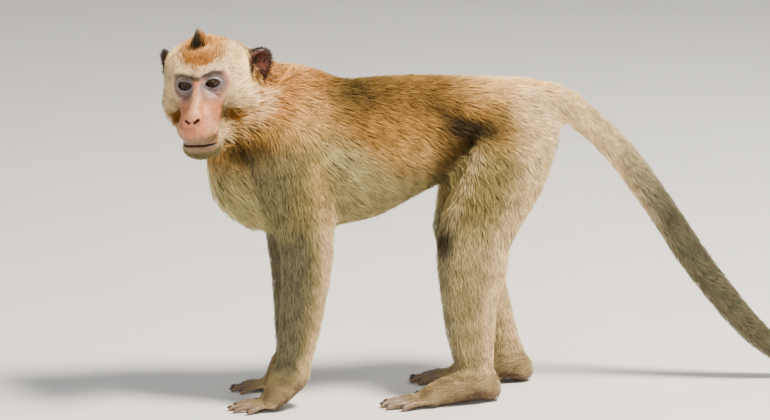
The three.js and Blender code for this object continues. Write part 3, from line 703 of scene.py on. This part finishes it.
# grey on the front of upper arm and forearm, partly painted shade
lay(0.5 * step(arm, 0.1, 0.8) * high_before, GREY_OLIVE)
low_before = step(backward, 0.45, -0.25) * step(wide_z, 240, 190) * step(wide_z, 15, 60)
lay(0.85 * step(arm, 0.3, 0.9) * low_before, GREY_OLIVE)
lay(0.9 * step(arm, 0.2, 0.8) * step(backward, 0.05, 0.6) * step(wide_z, 260, 210), CREAM)
lay(0.6 * ridge(crease((-262, 62, 280), (-250, 56, 225)), 11), PALE_GOLD)

# Legs: olive outside, paler below, and cream behind.
lay(step(leg, 0.2, 0.8) * step(wide_z, 350, 310), OLIVE)
lay(0.6 * step(leg, 0.2, 0.8) * step(wide_z, 230, 190), PALE_THIGH)
lay(0.95 * step(leg, 0.15, 0.7) * step(backward, -0.1, 0.55), CREAM)
lay(0.9 * step(leg, 0.15, 0.7) * step(wide_x, -58, -18) * step(wide_z, 250, 300), CREAM)
# grey-olive on the front of the shins, partly painted shade
lay(0.6 * step(leg, 0.3, 0.9) * step(backward, -0.3, -0.8) * step(wide_z, 240, 200), GREY_OLIVE)
lay(0.8 * spot((-58, 50, 308), (22, 30, 17)), GOLD)
lay(0.5 * spot((-58, 50, 318), (20, 30, 8)), BACK_BROWN)

# Painted shade in the folds of flank, groin and haunch and under the jaw, and a painted highlight along the
# thigh's front edge; the lower flank is paler gold, and there is dark fur in front of the hip.
lay(0.5 * spot((-146, 48, 288), (34, 40, 17)), PALE_GOLD)
# painted shade in the fold of the flank before the thigh
lay(0.75 * ridge(flank_fold, 17) * step(leg, 0.75, 0.35), SHADOW_OLIVE)
lay(0.8 * ridge(flank_fold, 8), DARK_BROWN)
# painted shade in the groin between flank and thigh
lay(0.8 * ridge(crease((-116, 40, 298), (-122, 24, 245)), 16), SHADOW_OLIVE)
# painted highlight along the front edge of the thigh, beside the fold
lay(0.7 * ridge(crease((-80, 52, 288), (-108, 52, 222)), 6), CREAM)
# painted shade in the groove over the haunch
lay(0.9 * ridge(haunch_groove, 9) * step(wide_x, -150, -105), DARK_BROWN)
# dark fur in front of the hip, deepened with painted shade
lay(1.5 * spot((-96, 46, 316), (28, 40, 12)), DARK_BROWN, 0.95)
# painted shade at the front end of the haunch groove
lay(0.6 * spot((-132, 45, 338), (24, 40, 15)), SHADOW_OLIVE)
# painted shade low in the groin, between belly and thigh
lay(1.5 * spot((-119, 45, 192), (12, 30, 16)), DARK_BROWN, 0.9)
# painted shade under the jaw and on the throat behind it
lay(0.95 * spot((-339, 34, 301), (24, 26, 15)), SHADOW_OLIVE)
lay(0.5 * spot((-339, 34, 300), (16, 20, 10)), DARK_BROWN)
lay(0.6 * spot((-318, 44, 308), (14, 20, 9)), BACK_BROWN)

# The tail, cream at its root and grey towards its end, and hands, feet and seat.
lay(step(tail, 0.15, 0.7), TAIL_FUR)
lay(0.8 * tail * ridge(upward - 0.1, 0.5) * step(wide_x, 40, 150), GREY_OLIVE)
lay(0.9 * tail * step(wide_x, 130, 40), CREAM)
lay(0.4 * tail * step(wide_x, 60, 10) * step(upward, 0.2, 0.9), PALE_GOLD)
lay(0.7 * tail * step(upward, -0.1, -0.7) * step(wide_x, 220, 60), CREAM)
lay(0.8 * step(wide_x, 100, 165), TAIL_GREY)
lay(0.8 * spot((150, 0, 196), (6, 12, 6)), DARK_BROWN)
lay(hand_or_foot, HAND_FUR)
lay(0.75 * on_digit, PALM_GREY)
lay(step(zones("hand", "foot"), 0.5, 1) * step(upward, -0.2, -0.6), PALM_GREY)
lay(seat_pad, SEAT_SKIN)

# The head's coat: an orange cap over cream brow and cheeks, and painted shade on the fur under the chin.
head = zones("head")
lay(head, CREAM)
lay(0.7 * head * step(ahead, 0, -35) * step(above, -20, 10), PALE_GOLD)
lay(0.7 * head_spot((3, 37, 16), (16, 12, 10)), PALE_GOLD)
over_cap_edge = above - (13 + 0.2 * off_middle + 1.2 * np.sin(0.5 * aside) + 0.8 * np.sin(1.1 * aside + 2))
lay(0.95 * head * step(over_cap_edge, 0, 4) * step(off_middle, 30, 19) * step(ahead, -42, -12), ORANGE)
lay(0.8 * head * step(off_middle, 28, 16) * ridge(over_cap_edge - 6, 5) * step(ahead, 4, 12), CAP_FRONT)
lay(0.5 * head * step(off_middle, 26, 14) * ridge(above - 27, 2.5) * step(ahead, 0, 8), PALE_GOLD)
lay(1.4 * head_spot((23, 30, -43), (18, 14, 13)), OCHRE)
lay(0.7 * head_spot((2, 30, -66), (26, 20, 10)), OCHRE)
lay(1.5 * head_spot((36, 25, -34), (12, 10, 10)), SHADOW_OLIVE, 0.9)
# painted shade on the pale fur under the chin
lay(0.9 * head * step(above, -58, -67) * step(ahead, 10, 30), CHIN_FUR_IN_SHADE)
coat_marking = marking.copy()

# The bare face: pink, grey round the eyes, with dark lids, lips and nostrils, a dark brow that is partly
# painted shade under the brow ridge, and painted shade over the lower muzzle and chin.
bare = bare_face(head_points) * head
lay(bare, SKIN_PINK)
lay(0.8 * bare * ridge(off_middle, 6) * step(above, 4, -8) * step(above, -30, -18), SKIN_BRIDGE)
lay(0.6 * bare * step(off_middle, 11, 20) * step(above, -16, -26), SKIN_SHADE)
from_orbit = 13 * (np.hypot((off_middle - 18.5) / 12.5, (above + 0.5) / 14) - 1)
lay(0.9 * bare * step(from_orbit, 8, -3) * step(ahead, 24, 30), SKIN_LILAC)
lid_line = lid_gap(off_middle - EYE_ASIDE, above)
on_lids = bare * step(ahead, 28, 32)
lay(0.8 * on_lids * step(lid_line, 6.0, 3.0), LID_GREY)
lay(0.6 * on_lids * ridge(lid_line - 3.4, 0.8), SKIN_LILAC)
lay(on_lids * step(lid_line, 1.5, 0.7), LIP_DARK)
brow_line = np.where(off_middle > 12, from_orbit, above - 9.8 - 0.013 * off_middle**2) + 1.2
# the brow: dark hair, with painted shade of the brow ridge on the skin and coat below it
brow = 0.9 * step(ridge(brow_line, 2.4), 0.05, 0.85) * step(ahead, 6, 18)
brow = brow * step(above, -6, 3) * step(off_middle, 31, 24)
lay(head * brow, DARK_BROWN)
lay(0.7 * head * ridge(brow_line - 5.4, 1.8) * step(ahead, 14, 26) * step(above, 6, 10), CREAM)
from_mouth = over_mouth(aside, above)
# brown lower muzzle and upper lip, darkened further as painted shade
lay(0.9 * bare * step(above, -42, -51), MUZZLE_BROWN_IN_SHADE)
# olive-beige lower lip and chin, darkened as painted shade
lay(0.85 * bare * step(from_mouth, -1, -5), CHIN_OLIVE_IN_SHADE)
mouth = step(ridge(from_mouth, 1.7), 0.15, 0.6) * step(off_middle, MOUTH_CORNER + 2, MOUTH_CORNER - 1)
lay(np.maximum(bare, head) * mouth * step(ahead, 20, 30), LIP_DARK)
lay(bare * step(nostril_gap(both_sides(head_points)), 2.2, 1.2) * step(ahead, 64, 68), LIP_DARK)

# The crest, its dark spike and the ears. Brow, spike and ears have their colours on the coat too.
# the brow's dark colour, partly painted shade, goes onto the coat too
coat_marking += (head * brow)[:, None] * (DARK_BROWN - coat_marking)
CREST_TIP, SPIKE_FOOT, SPIKE_TIP = (-7.0, 11.0, 47.0), (1.0, -5.0, 31.0), (5.0, -1.0, 56.0)
crest = glow(head_points, CREST_FOOT, (15, 12, 14))
near_spike = ridge(lengths(head_points - SPIKE_FOOT), 11)
spike = step(near_spike, 0.35, 0.6)
lay(spike, DARK_BROWN)
ear = step(zones("ear"), 0.2, 0.7)
lay(ear, EAR_DARK)
on_coat = np.maximum(ear, spike)[:, None]
coat_marking += on_coat * (marking - coat_marking)
lay(0.9 * ear * step(facing @ HEAD_AXES[:, 0], 0.5, 0.85), EAR_RED)


def keep(mesh, name, values):
    """Stores a number or a colour for each point of a mesh, for its paint to read."""
    values = np.array(values, dtype=np.float32)
    if values.ndim == 1:
        mesh.attributes.new(name, "FLOAT", "POINT").data.foreach_set("value", values)
    else:
        values = np.concatenate([values, np.ones((len(values), 1), np.float32)], 1)
        mesh.attributes.new(name, "FLOAT_COLOR", "POINT").data.foreach_set("color", values.ravel())


keep(skin.data, "marking", marking)
skin_paint = Paint("skin", Roughness=0.48, Subsurface_Weight=0.12, Subsurface_Scale=0.004)
skin_marking = skin_paint.attribute("marking", "Color")
mottle = skin_paint.blotches(300.0, 4.0, (0.32, (0.74, 0.70, 0.70)), (0.62, (1, 1, 1)))
blotch = skin_paint.blotches(75.0, 3.0, (0.38, (0.84, 0.76, 0.74)), (0.6, (1.03, 1.02, 1.0)))
skin_colour = skin_paint.times(0.85, skin_paint.times(0.8, skin_marking, mottle), blotch)
skin_paint.feed("Base Color", skin_colour)
pores = skin_paint.noise(260.0, 3.0) + 0.5 * skin_paint.noise(950.0, 3.0)
skin_paint.bump(pores, 0.0009, 0.6)
skin.data.materials.append(skin_paint.material)
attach(skin, "root")
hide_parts(*FLESH)

# ----------------------------------------
# The coat. Thousands of thin tapering tufts of hair, set root by root into the skin and combed the
# way hair lies: back from the face, back along the body and down the limbs.
# It is longest on the mane and trunk and very short on hands and feet.

TUFTS = {  # how many on a square centimetre, and their length, width and rise in millimetres
    "trunk": (40, 18, 0.82, 6.8), "neck": (44, 18, 0.82, 7.6), "head": (76, 12, 0.58, 4.8),
    "ear": (40, 4.5, 0.5, 1.6), "upper_arm": (38, 14, 0.8, 5.4), "forearm": (40, 11, 0.72, 4.0),
    "hand": (46, 8.5, 0.52, 1.8), "thigh": (33, 15, 0.84, 5.8), "shin": (37, 11, 0.74, 4.0),
    "foot": (46, 9, 0.54, 1.8), "tail": (38, 12, 0.76, 4.2),
}
# Which way hair lies on each part: towards the tail, to the right and up.
LIE = {"neck": (0.6, 0, -0.5), "upper_arm": (0.2, 0, -1), "forearm": (0.1, 0, -1), "hand": (-1, 0, -0.2),
       "shin": (0.2, 0, -1), "foot": (-1, 0, -0.15)}


def unit(vectors):
    return vectors / np.maximum(np.linalg.norm(vectors, axis=1, keepdims=True), 1e-9)


def tangent(vectors, up):
    return unit(vectors - (vectors * up).sum(1, keepdims=True) * up)


tuft_sizes = np.stack([sum(zones(part) * row[k] for part, row in TUFTS.items()) for k in range(4)], 1)
density, long, wide, rise = (spread(tuft_sizes, 50) * (1 - thin[:, None]) + tuft_sizes * thin[:, None]).T
lie = sum(zones(part)[:, None] * unit(np.array([way], float)) for part, way in LIE.items())
none, high_on_thigh = np.zeros(count), step(wide_z, 220, 330)
lie += zones("trunk")[:, None] * np.stack([none + 1, none, -0.15 - 0.55 * np.abs(facing[:, 1])], 1)
lie += zones("thigh")[:, None] * np.stack([0.15 + 0.85 * high_on_thigh, none, -1 + 0.4 * high_on_thigh], 1)
for number in range(1, 5):
    from_length = min(number, 3)  # the last length of the tail has none after it
    start, end = box_middle(f"tail_{from_length}"), box_middle(f"tail_{from_length + 1}")
    lie += zone[f"tail_{number}"][:, None] * np.array((end - start).normalized())
from_nose = unit(head_points - (66.0, 0.0, -26.0)) @ HEAD_AXES.T
lie += (zones("head") + 0.8 * zones("neck"))[:, None] * from_nose
over_brow = (head * step(above, 2, 10) * step(ahead, 0, 15))[:, None]
lie += over_brow * np.stack([none - 0.4, 0.4 * np.sign(aside), none + 1], 1) @ HEAD_AXES.T
lie = spread(tangent(lie, facing), 25)
near_ear = np.zeros(count)
for name in ("ear_left", "ear_right"):
    from_ear = points - np.array(box_middle(name))
    lie = np.where(zone[name][:, None] > 0.5, 3 * unit(from_ear), lie)
    near_ear += ridge(lengths(from_ear) * 1000, 30) * (zone[name] < 0.5)
lie = tangent(spread(lie, 3), facing)
covered = 1 - bare
from_face = step(-ahead, -30, 5)
cheek = head_spot((0, 40, -36), (26, 22, 28))
whisker_pad = head_spot((42, 21, -52), (18, 9, 12))
by_face = 1 - head * (1 - from_face) * 0.5
long = long * by_face * (0.25 + 0.75 * covered) + 5 * cheek + 5 * whisker_pad
rise = rise * by_face * (0.3 + 0.7 * covered) + 1.5 * cheek + 2 * whisker_pad
long, rise = long * (1 - 0.75 * near_ear), rise * (1 - 0.6 * near_ear)
sole = step(wide_z, 9, 4) * step(upward, 0.2, -0.3)
in_orbit = step(brow_line, 0.5, -1.0) * step(ahead, 20, 28) * step(above, -12, -6)
density = density * step(covered, 0.04, 0.8) * (1 - sole) * (1 - seat_pad) * (1 - 0.95 * on_digit)
density = density * (1 - in_orbit) * (1 - mouth)
long = long * (1 - 0.65 * head * ridge(brow_line, 5) * step(ahead, 6, 18))
wide = wide * (0.45 + 0.55 * covered)
toward_digits = np.maximum(on_digit, spread(on_digit[:, None], 150)[:, 0])
long, rise = long * (1 - 0.6 * toward_digits), rise * (1 - 0.7 * toward_digits)

# The tufts of the crest are drawn together into a low peak, with a dark spike before it.
drawn = np.maximum(0.85 * step(crest, 0.3, 0.9), 0.95 * spike)
crest_to = CREST_TIP + 0.3 * (head_points - CREST_FOOT)
drawn_to = from_head(np.where(near_spike[:, None] > 0.3, SPIKE_TIP, crest_to))

# Tufts are dealt out over the skin's triangles by their area.
skin.data.calc_loop_triangles()
triangles = rows(skin.data.loop_triangles, "vertices", kind=int)
corners = points[triangles]
area = lengths(np.cross(corners[:, 1] - corners[:, 0], corners[:, 2] - corners[:, 0])) / 2

# The skin laid flat: each part of the body has its own square of the sheet, the trunk four.
SHEET = 5  # squares along a side of the sheet
sheet = np.zeros((count, 2))
order = ["trunk"] + [name for name in FLESH if name != "trunk"]
free = [(i, j) for j in range(SHEET) for i in range(SHEET) if i > 1 or j > 1]
for number, name in enumerate(order):
    own = np.flatnonzero(owner == FLESH.index(name))
    offset = points[own] - points[own].mean(0)
    axes = np.linalg.svd(offset, full_matrices=False)[2]
    run, right, fore = (offset @ axes.T).T
    run = (run - run.min()) / (np.ptp(run) + 1e-9)
    round_it = np.arctan2(fore, right) / (2 * np.pi) + 0.5
    corner, size = ((0, 0), 2) if name == "trunk" else (free[number - 1], 1)
    sheet[own] = (np.array(corner) + size * (0.03 + 0.94 * np.stack([run, round_it], 1))) / SHEET

# The colour of a tuft is taken a few hops away from its root, so that markings run into each other.
HOPS = 12
wander = []
hop_chance = np.random.default_rng(5)
for hop in range(HOPS):
    mixed = edges[hop_chance.permutation(len(edges))]
    onward = np.arange(count)
    onward[mixed[:, hop % 2]] = mixed[:, 1 - hop % 2]
    wander.append(onward)

# A tuft has three points round its root, three round its middle and one at its tip.
TUFT_POINTS = 7
RING = ((-0.5, 0.0), (0.5, 0.0), (0.0, 0.42))  # across and up, in widths
QUADS = ((0, 1, 4, 3), (1, 2, 5, 4), (2, 0, 3, 5))
ENDS = ((3, 4, 6), (4, 5, 6), (5, 3, 6), (2, 1, 0))
SIDES_OF_FACES = [4, 4, 4, 3, 3, 3, 3]
UP_THE_TUFT = [0, 0, 0, 0.5, 0.5, 0.5, 1.0]
ACROSS_PATCH = [-0.5, 0.5, 0, -0.4, 0.4, 0, 0]
PATCH = 0.003  # how wide a tuft's patch of the sheet is
ROOT_SUNK, FLOOR_GAP = 0.0008, 0.0003  # metres
WAVES = ((310.0, 170.0, 230.0), (-140.0, 260.0, 190.0))  # how fast locks of hair swing, by direction
STANDS_PROUD = 0.0042  # how far the boldest tufts pass the body's solids, in metres

coat_paint = Paint("coat", Roughness=0.66, Specular_IOR_Level=0.22)
hair = coat_paint.attribute("marking", "Color")
ROOT_SHADE, TIP_SHADE = (0.70, 0.66, 0.60), (1.28, 1.26, 1.22)
DARK_HAIR, PLAIN_HAIR, BRIGHT_HAIR = (0.62, 0.58, 0.52), (1.0, 1.0, 1.0), (1.22, 1.2, 1.16)
along_hair = coat_paint.ramp(coat_paint.attribute("along"), (0.0, ROOT_SHADE), (1.0, TIP_SHADE))
hair_chance = coat_paint.attribute("chance")
each_hair = coat_paint.ramp(hair_chance, (0.0, DARK_HAIR), (0.35, PLAIN_HAIR), (1.0, BRIGHT_HAIR))
streaks = coat_paint.blotches(70.0, 3.0, (0.35, (0.76, 0.74, 0.72)), (0.65, (1.14, 1.13, 1.1)))
hair = coat_paint.times(1.0, coat_paint.times(1.0, hair, along_hair), each_hair)
coat_paint.feed("Base Color", coat_paint.times(1.0, hair, streaks))


def tuft_mesh(name, tufts, sheet_middles):
    """One mesh of tufts from their points, each with its own patch of the sheet."""
    amount = len(tufts)
    first = np.arange(amount)[:, None, None] * TUFT_POINTS
    loops = np.concatenate([(first + faces).reshape(amount, -1) for faces in (QUADS, ENDS)], 1).ravel()
    sides = np.tile(SIDES_OF_FACES, amount)
    mesh = bpy.data.meshes.new(name)
    mesh.vertices.add(amount * TUFT_POINTS)
    mesh.vertices.foreach_set("co", tufts.ravel())
    mesh.loops.add(len(loops))
    mesh.loops.foreach_set("vertex_index", loops.astype(np.int32))
    mesh.polygons.add(len(sides))
    mesh.polygons.foreach_set("loop_start", (np.cumsum(sides) - sides).astype(np.int32))
    mesh.update(calc_edges=True)
    mesh.shade_smooth()
    in_patch = np.stack([ACROSS_PATCH, np.array(UP_THE_TUFT) - 0.5], 1)
    patch = sheet_middles[:, None] + PATCH * in_patch
    layer = mesh.uv_layers.new(name="OFBake")
    layer.data.foreach_set("uv", patch.reshape(-1, 2)[loops].astype(np.float32).ravel())
    return mesh


def tuft_piece(name, inside, seed):
    """One piece of coat, its tufts rooted where inside is 1."""
    chance = np.random.default_rng(seed)
    wanted = area * 1e4 * (density * inside)[triangles].mean(1)
    amount = int(wanted.sum())
    ladder = np.cumsum(wanted) / wanted.sum()
    rungs = (np.arange(amount) + chance.random(amount)) / amount
    face = np.searchsorted(ladder, rungs).clip(0, len(area) - 1)
    share = chance.dirichlet((1, 1, 1), amount)

    own_point = triangles[face, 0]
    taken_from = own_point
    for onward in wander:
        taken_from = onward[taken_from]
    taken_from = np.where(on_coat[own_point, 0] + brow[own_point] > 0.2, own_point, taken_from)

    def at_root(values):
        values = values if values.ndim > 1 else values[:, None]
        return (values[triangles[face]] * share[:, :, None]).sum(1)

    root, up = at_root(points), unit(at_root(normals))
    way = tangent(at_root(lie), up)
    wave = sum(np.sin(root @ run) for run in WAVES)
    swing = (0.10 * wave + chance.normal(0, 0.14, amount))[:, None]
    way = np.cos(swing) * way + np.sin(swing) * np.cross(up, way)
    reach = at_root(long) / 1000 * chance.uniform(0.7, 1.25, (amount, 1))
    lift = at_root(rise) / 1000 * chance.uniform(0.6, 1.15, (amount, 1))
    girth = at_root(wide) / 1000 * chance.uniform(0.75, 1.25, (amount, 1))
    middle = root + 0.45 * reach * way + 0.72 * lift * up
    tip = root + reach * way + lift * up
    pull = at_root(drawn) * chance.uniform(0.45, 1.0, (amount, 1))
    tip += pull * (at_root(drawn_to) - tip)
    middle += 0.6 * pull * ((root + tip) / 2 - middle)
    allowed = STANDS_PROUD * chance.random(amount) ** 1.6 + 0.02 * pull[:, 0]
    for i in range(amount):
        found, outward, _, _ = flesh_tree.find_nearest(Vector(tip[i]))
        proud = (Vector(tip[i]) - found).dot(outward) - allowed[i]
        if proud > 0:
            tip[i] -= proud * np.array(outward)

    across = np.cross(up, way)
    tufts = np.empty((amount, TUFT_POINTS, 3))
    for k, (side, height) in enumerate(RING):
        tufts[:, k] = root - ROOT_SUNK * up + girth * (side * across + height * up)
        tufts[:, k + 3] = middle + 0.9 * girth * (side * across + height * up)
    tufts[:, 6] = tip
    tufts[:, :, 2] = np.maximum(tufts[:, :, 2], FLOOR_GAP)
    mesh = tuft_mesh(name, tufts, sheet[triangles[face, share.argmax(1)]])
    keep(mesh, "marking", np.repeat(coat_marking[taken_from], TUFT_POINTS, 0))
    keep(mesh, "along", np.tile(UP_THE_TUFT, amount))
    keep(mesh, "chance", np.repeat(chance.random(amount), TUFT_POINTS))
    mesh.materials.append(coat_paint.material)
    piece = bpy.data.objects.new(name, mesh)
    scene.collection.objects.link(piece)
    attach(piece, "root")


def mostly(*starts):
    """1 where one of these parts of the body outweighs the rest, else 0."""
    return np.where(zones(*starts) > 0.5, 1.0, 0.0)


trunk, arms, legs = mostly("trunk"), mostly("upper_arm", "forearm"), mostly("thigh", "shin")
on_chest, on_rump = step(wide_x, -210, -211), step(wide_x, -90, -89)
left_side = np.where(wide_y < 0, 1.0, 0.0)
tuft_piece("coat_of_chest", trunk * on_chest, 11)
tuft_piece("coat_of_back", trunk * (1 - on_chest) * (1 - on_rump), 12)
tuft_piece("coat_of_rump", trunk * on_rump, 13)
tuft_piece("mane", mostly("neck"), 14)
tuft_piece("coat_of_head", mostly("head", "ear"), 15)
tuft_piece("coat_of_left_arm", arms * left_side, 16)
tuft_piece("coat_of_right_arm", arms * (1 - left_side), 21)
tuft_piece("coat_of_left_leg", legs * left_side, 17)
tuft_piece("coat_of_right_leg", legs * (1 - left_side), 18)
tuft_piece("coat_of_tail", mostly("tail"), 19)
tuft_piece("coat_of_hands_and_feet", mostly("hand", "foot"), 20)

# ----------------------------------------
# The eyes. Two glass balls set behind the lids, painted from within: a black pupil, a brown iris
# with a dark edge and a brown white. The clear front bulges a little and is polished.

IRIS, PUPIL = 38.0, 14.0  # degrees from the middle of the ball
CLEAR_BULGE, LID_ROOM = 0.0006, 0.0002  # metres
PUPIL_BLACK, WHITE_BROWN = (0.004, 0.003, 0.003), (0.05, 0.033, 0.026)
IRIS_INNER, IRIS_OUTER, IRIS_EDGE = (0.050, 0.026, 0.009), (0.085, 0.046, 0.016), (0.012, 0.007, 0.005)
eye_paint = Paint("eye_glass", Roughness=0.4, Specular_IOR_Level=0.0, Coat_Weight=0.5, Coat_Roughness=0.03)
ring = eye_paint.attribute("ring")
iris = eye_paint.ramp(
    ring,
    (0.0, PUPIL_BLACK), (PUPIL / 90, PUPIL_BLACK), (PUPIL / 90 + 0.02, IRIS_INNER),
    (IRIS / 90 - 0.05, IRIS_OUTER), (IRIS / 90, IRIS_EDGE), (IRIS / 90 + 0.06, WHITE_BROWN),
)
flecks = eye_paint.blotches(1800.0, 2.0, (0.3, (0.5, 0.5, 0.5)), (0.7, (1, 1, 1)))
eye_paint.feed("Base Color", eye_paint.times(0.35, iris, flecks))
gaze = (head_turned @ Vector((1, -0.06, -0.08))).normalized()
for name in ("eye_left", "eye_right"):
    shape = bmesh.new()
    bmesh.ops.create_uvsphere(shape, u_segments=40, v_segments=36, radius=EYE_BALL / 1000 - LID_ROOM)
    off_gaze = []
    for vertex in shape.verts:
        angle = math.degrees(vertex.co.angle(Vector((0, 0, 1))))
        off_gaze.append(angle / 90)
        clear = max(0, math.cos(math.radians(min(angle / IRIS, 1) * 90)))
        vertex.co *= 1 + CLEAR_BULGE / vertex.co.length * clear
    eye_aside = EYE_ASIDE * (1 if name == "eye_left" else -1) + FACE_SHIFT
    eye_place = from_head(np.array([[EYE_AHEAD, eye_aside, FACE_LEAN * eye_aside]]))[0]
    place = Matrix.Translation(Vector(eye_place)) @ gaze.to_track_quat("Z", "Y").to_matrix().to_4x4()
    shape.transform(place)
    eyeball = plain_mesh("glass_" + name, shape)
    keep(eyeball.data, "ring", off_gaze)
    eyeball.data.shade_smooth()
    eyeball.data.materials.append(eye_paint.material)
    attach(eyeball, "root")
    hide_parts(name)

# ----------------------------------------
# The nails. Twenty small arched plates of dark horn, narrower than the fingers and toes that bear
# them. Each is glued on top of a digit's tip and tilts down with it.

NAIL = (3.3, 2.3, 0.8)  # half as long, wide and thick, in millimetres
NAIL_ARCH, NAIL_TILT = 0.10, math.radians(26)
NAIL_UP, NAIL_AHEAD = 0.78, 0.32  # shares of the tip's half thickness
HORN_DARK, HORN_PALE = (0.035, 0.024, 0.018), (0.075, 0.052, 0.038)
nail_paint = Paint("nail_horn", Roughness=0.35)
nail_paint.feed("Base Color", nail_paint.blotches(500.0, 2.0, (0.3, HORN_DARK), (0.7, HORN_PALE)))
nails = bmesh.new()
for end in LIMB_ENDS.values():
    for digit, thick in [(digit, end.thick) for digit in end.digits] + [(end.thumb, end.thumb_thick)]:
        path = [Vector(middle) for middle, _ in digit_path(digit, thick)]
        heading = path[-1] - path[-4]
        plate = bmesh.new()
        bmesh.ops.create_uvsphere(plate, u_segments=14, v_segments=8, radius=1.0)
        plate.transform(Matrix.Diagonal((*NAIL, 1)))
        for vertex in plate.verts:
            vertex.co.z -= NAIL_ARCH * vertex.co.y**2
        top = path[-1] + Vector((0, 0, NAIL_UP * thick[2])) + heading.normalized() * NAIL_AHEAD * thick[2]
        aim_nail = Matrix.Rotation(math.atan2(heading.y, heading.x), 4, "Z")
        tilt = Matrix.Rotation(NAIL_TILT, 4, "Y")
        plate.transform(limb_place(end) @ Matrix.Translation(top) @ aim_nail @ tilt)
        if end.side < 0:
            bmesh.ops.reverse_faces(plate, faces=plate.faces)
        add_to(nails, plate)
        plate.free()
nail_set = plain_mesh("nails", nails)
nail_set.data.shade_smooth()
nail_set.data.materials.append(nail_paint.material)
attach(nail_set, "root")
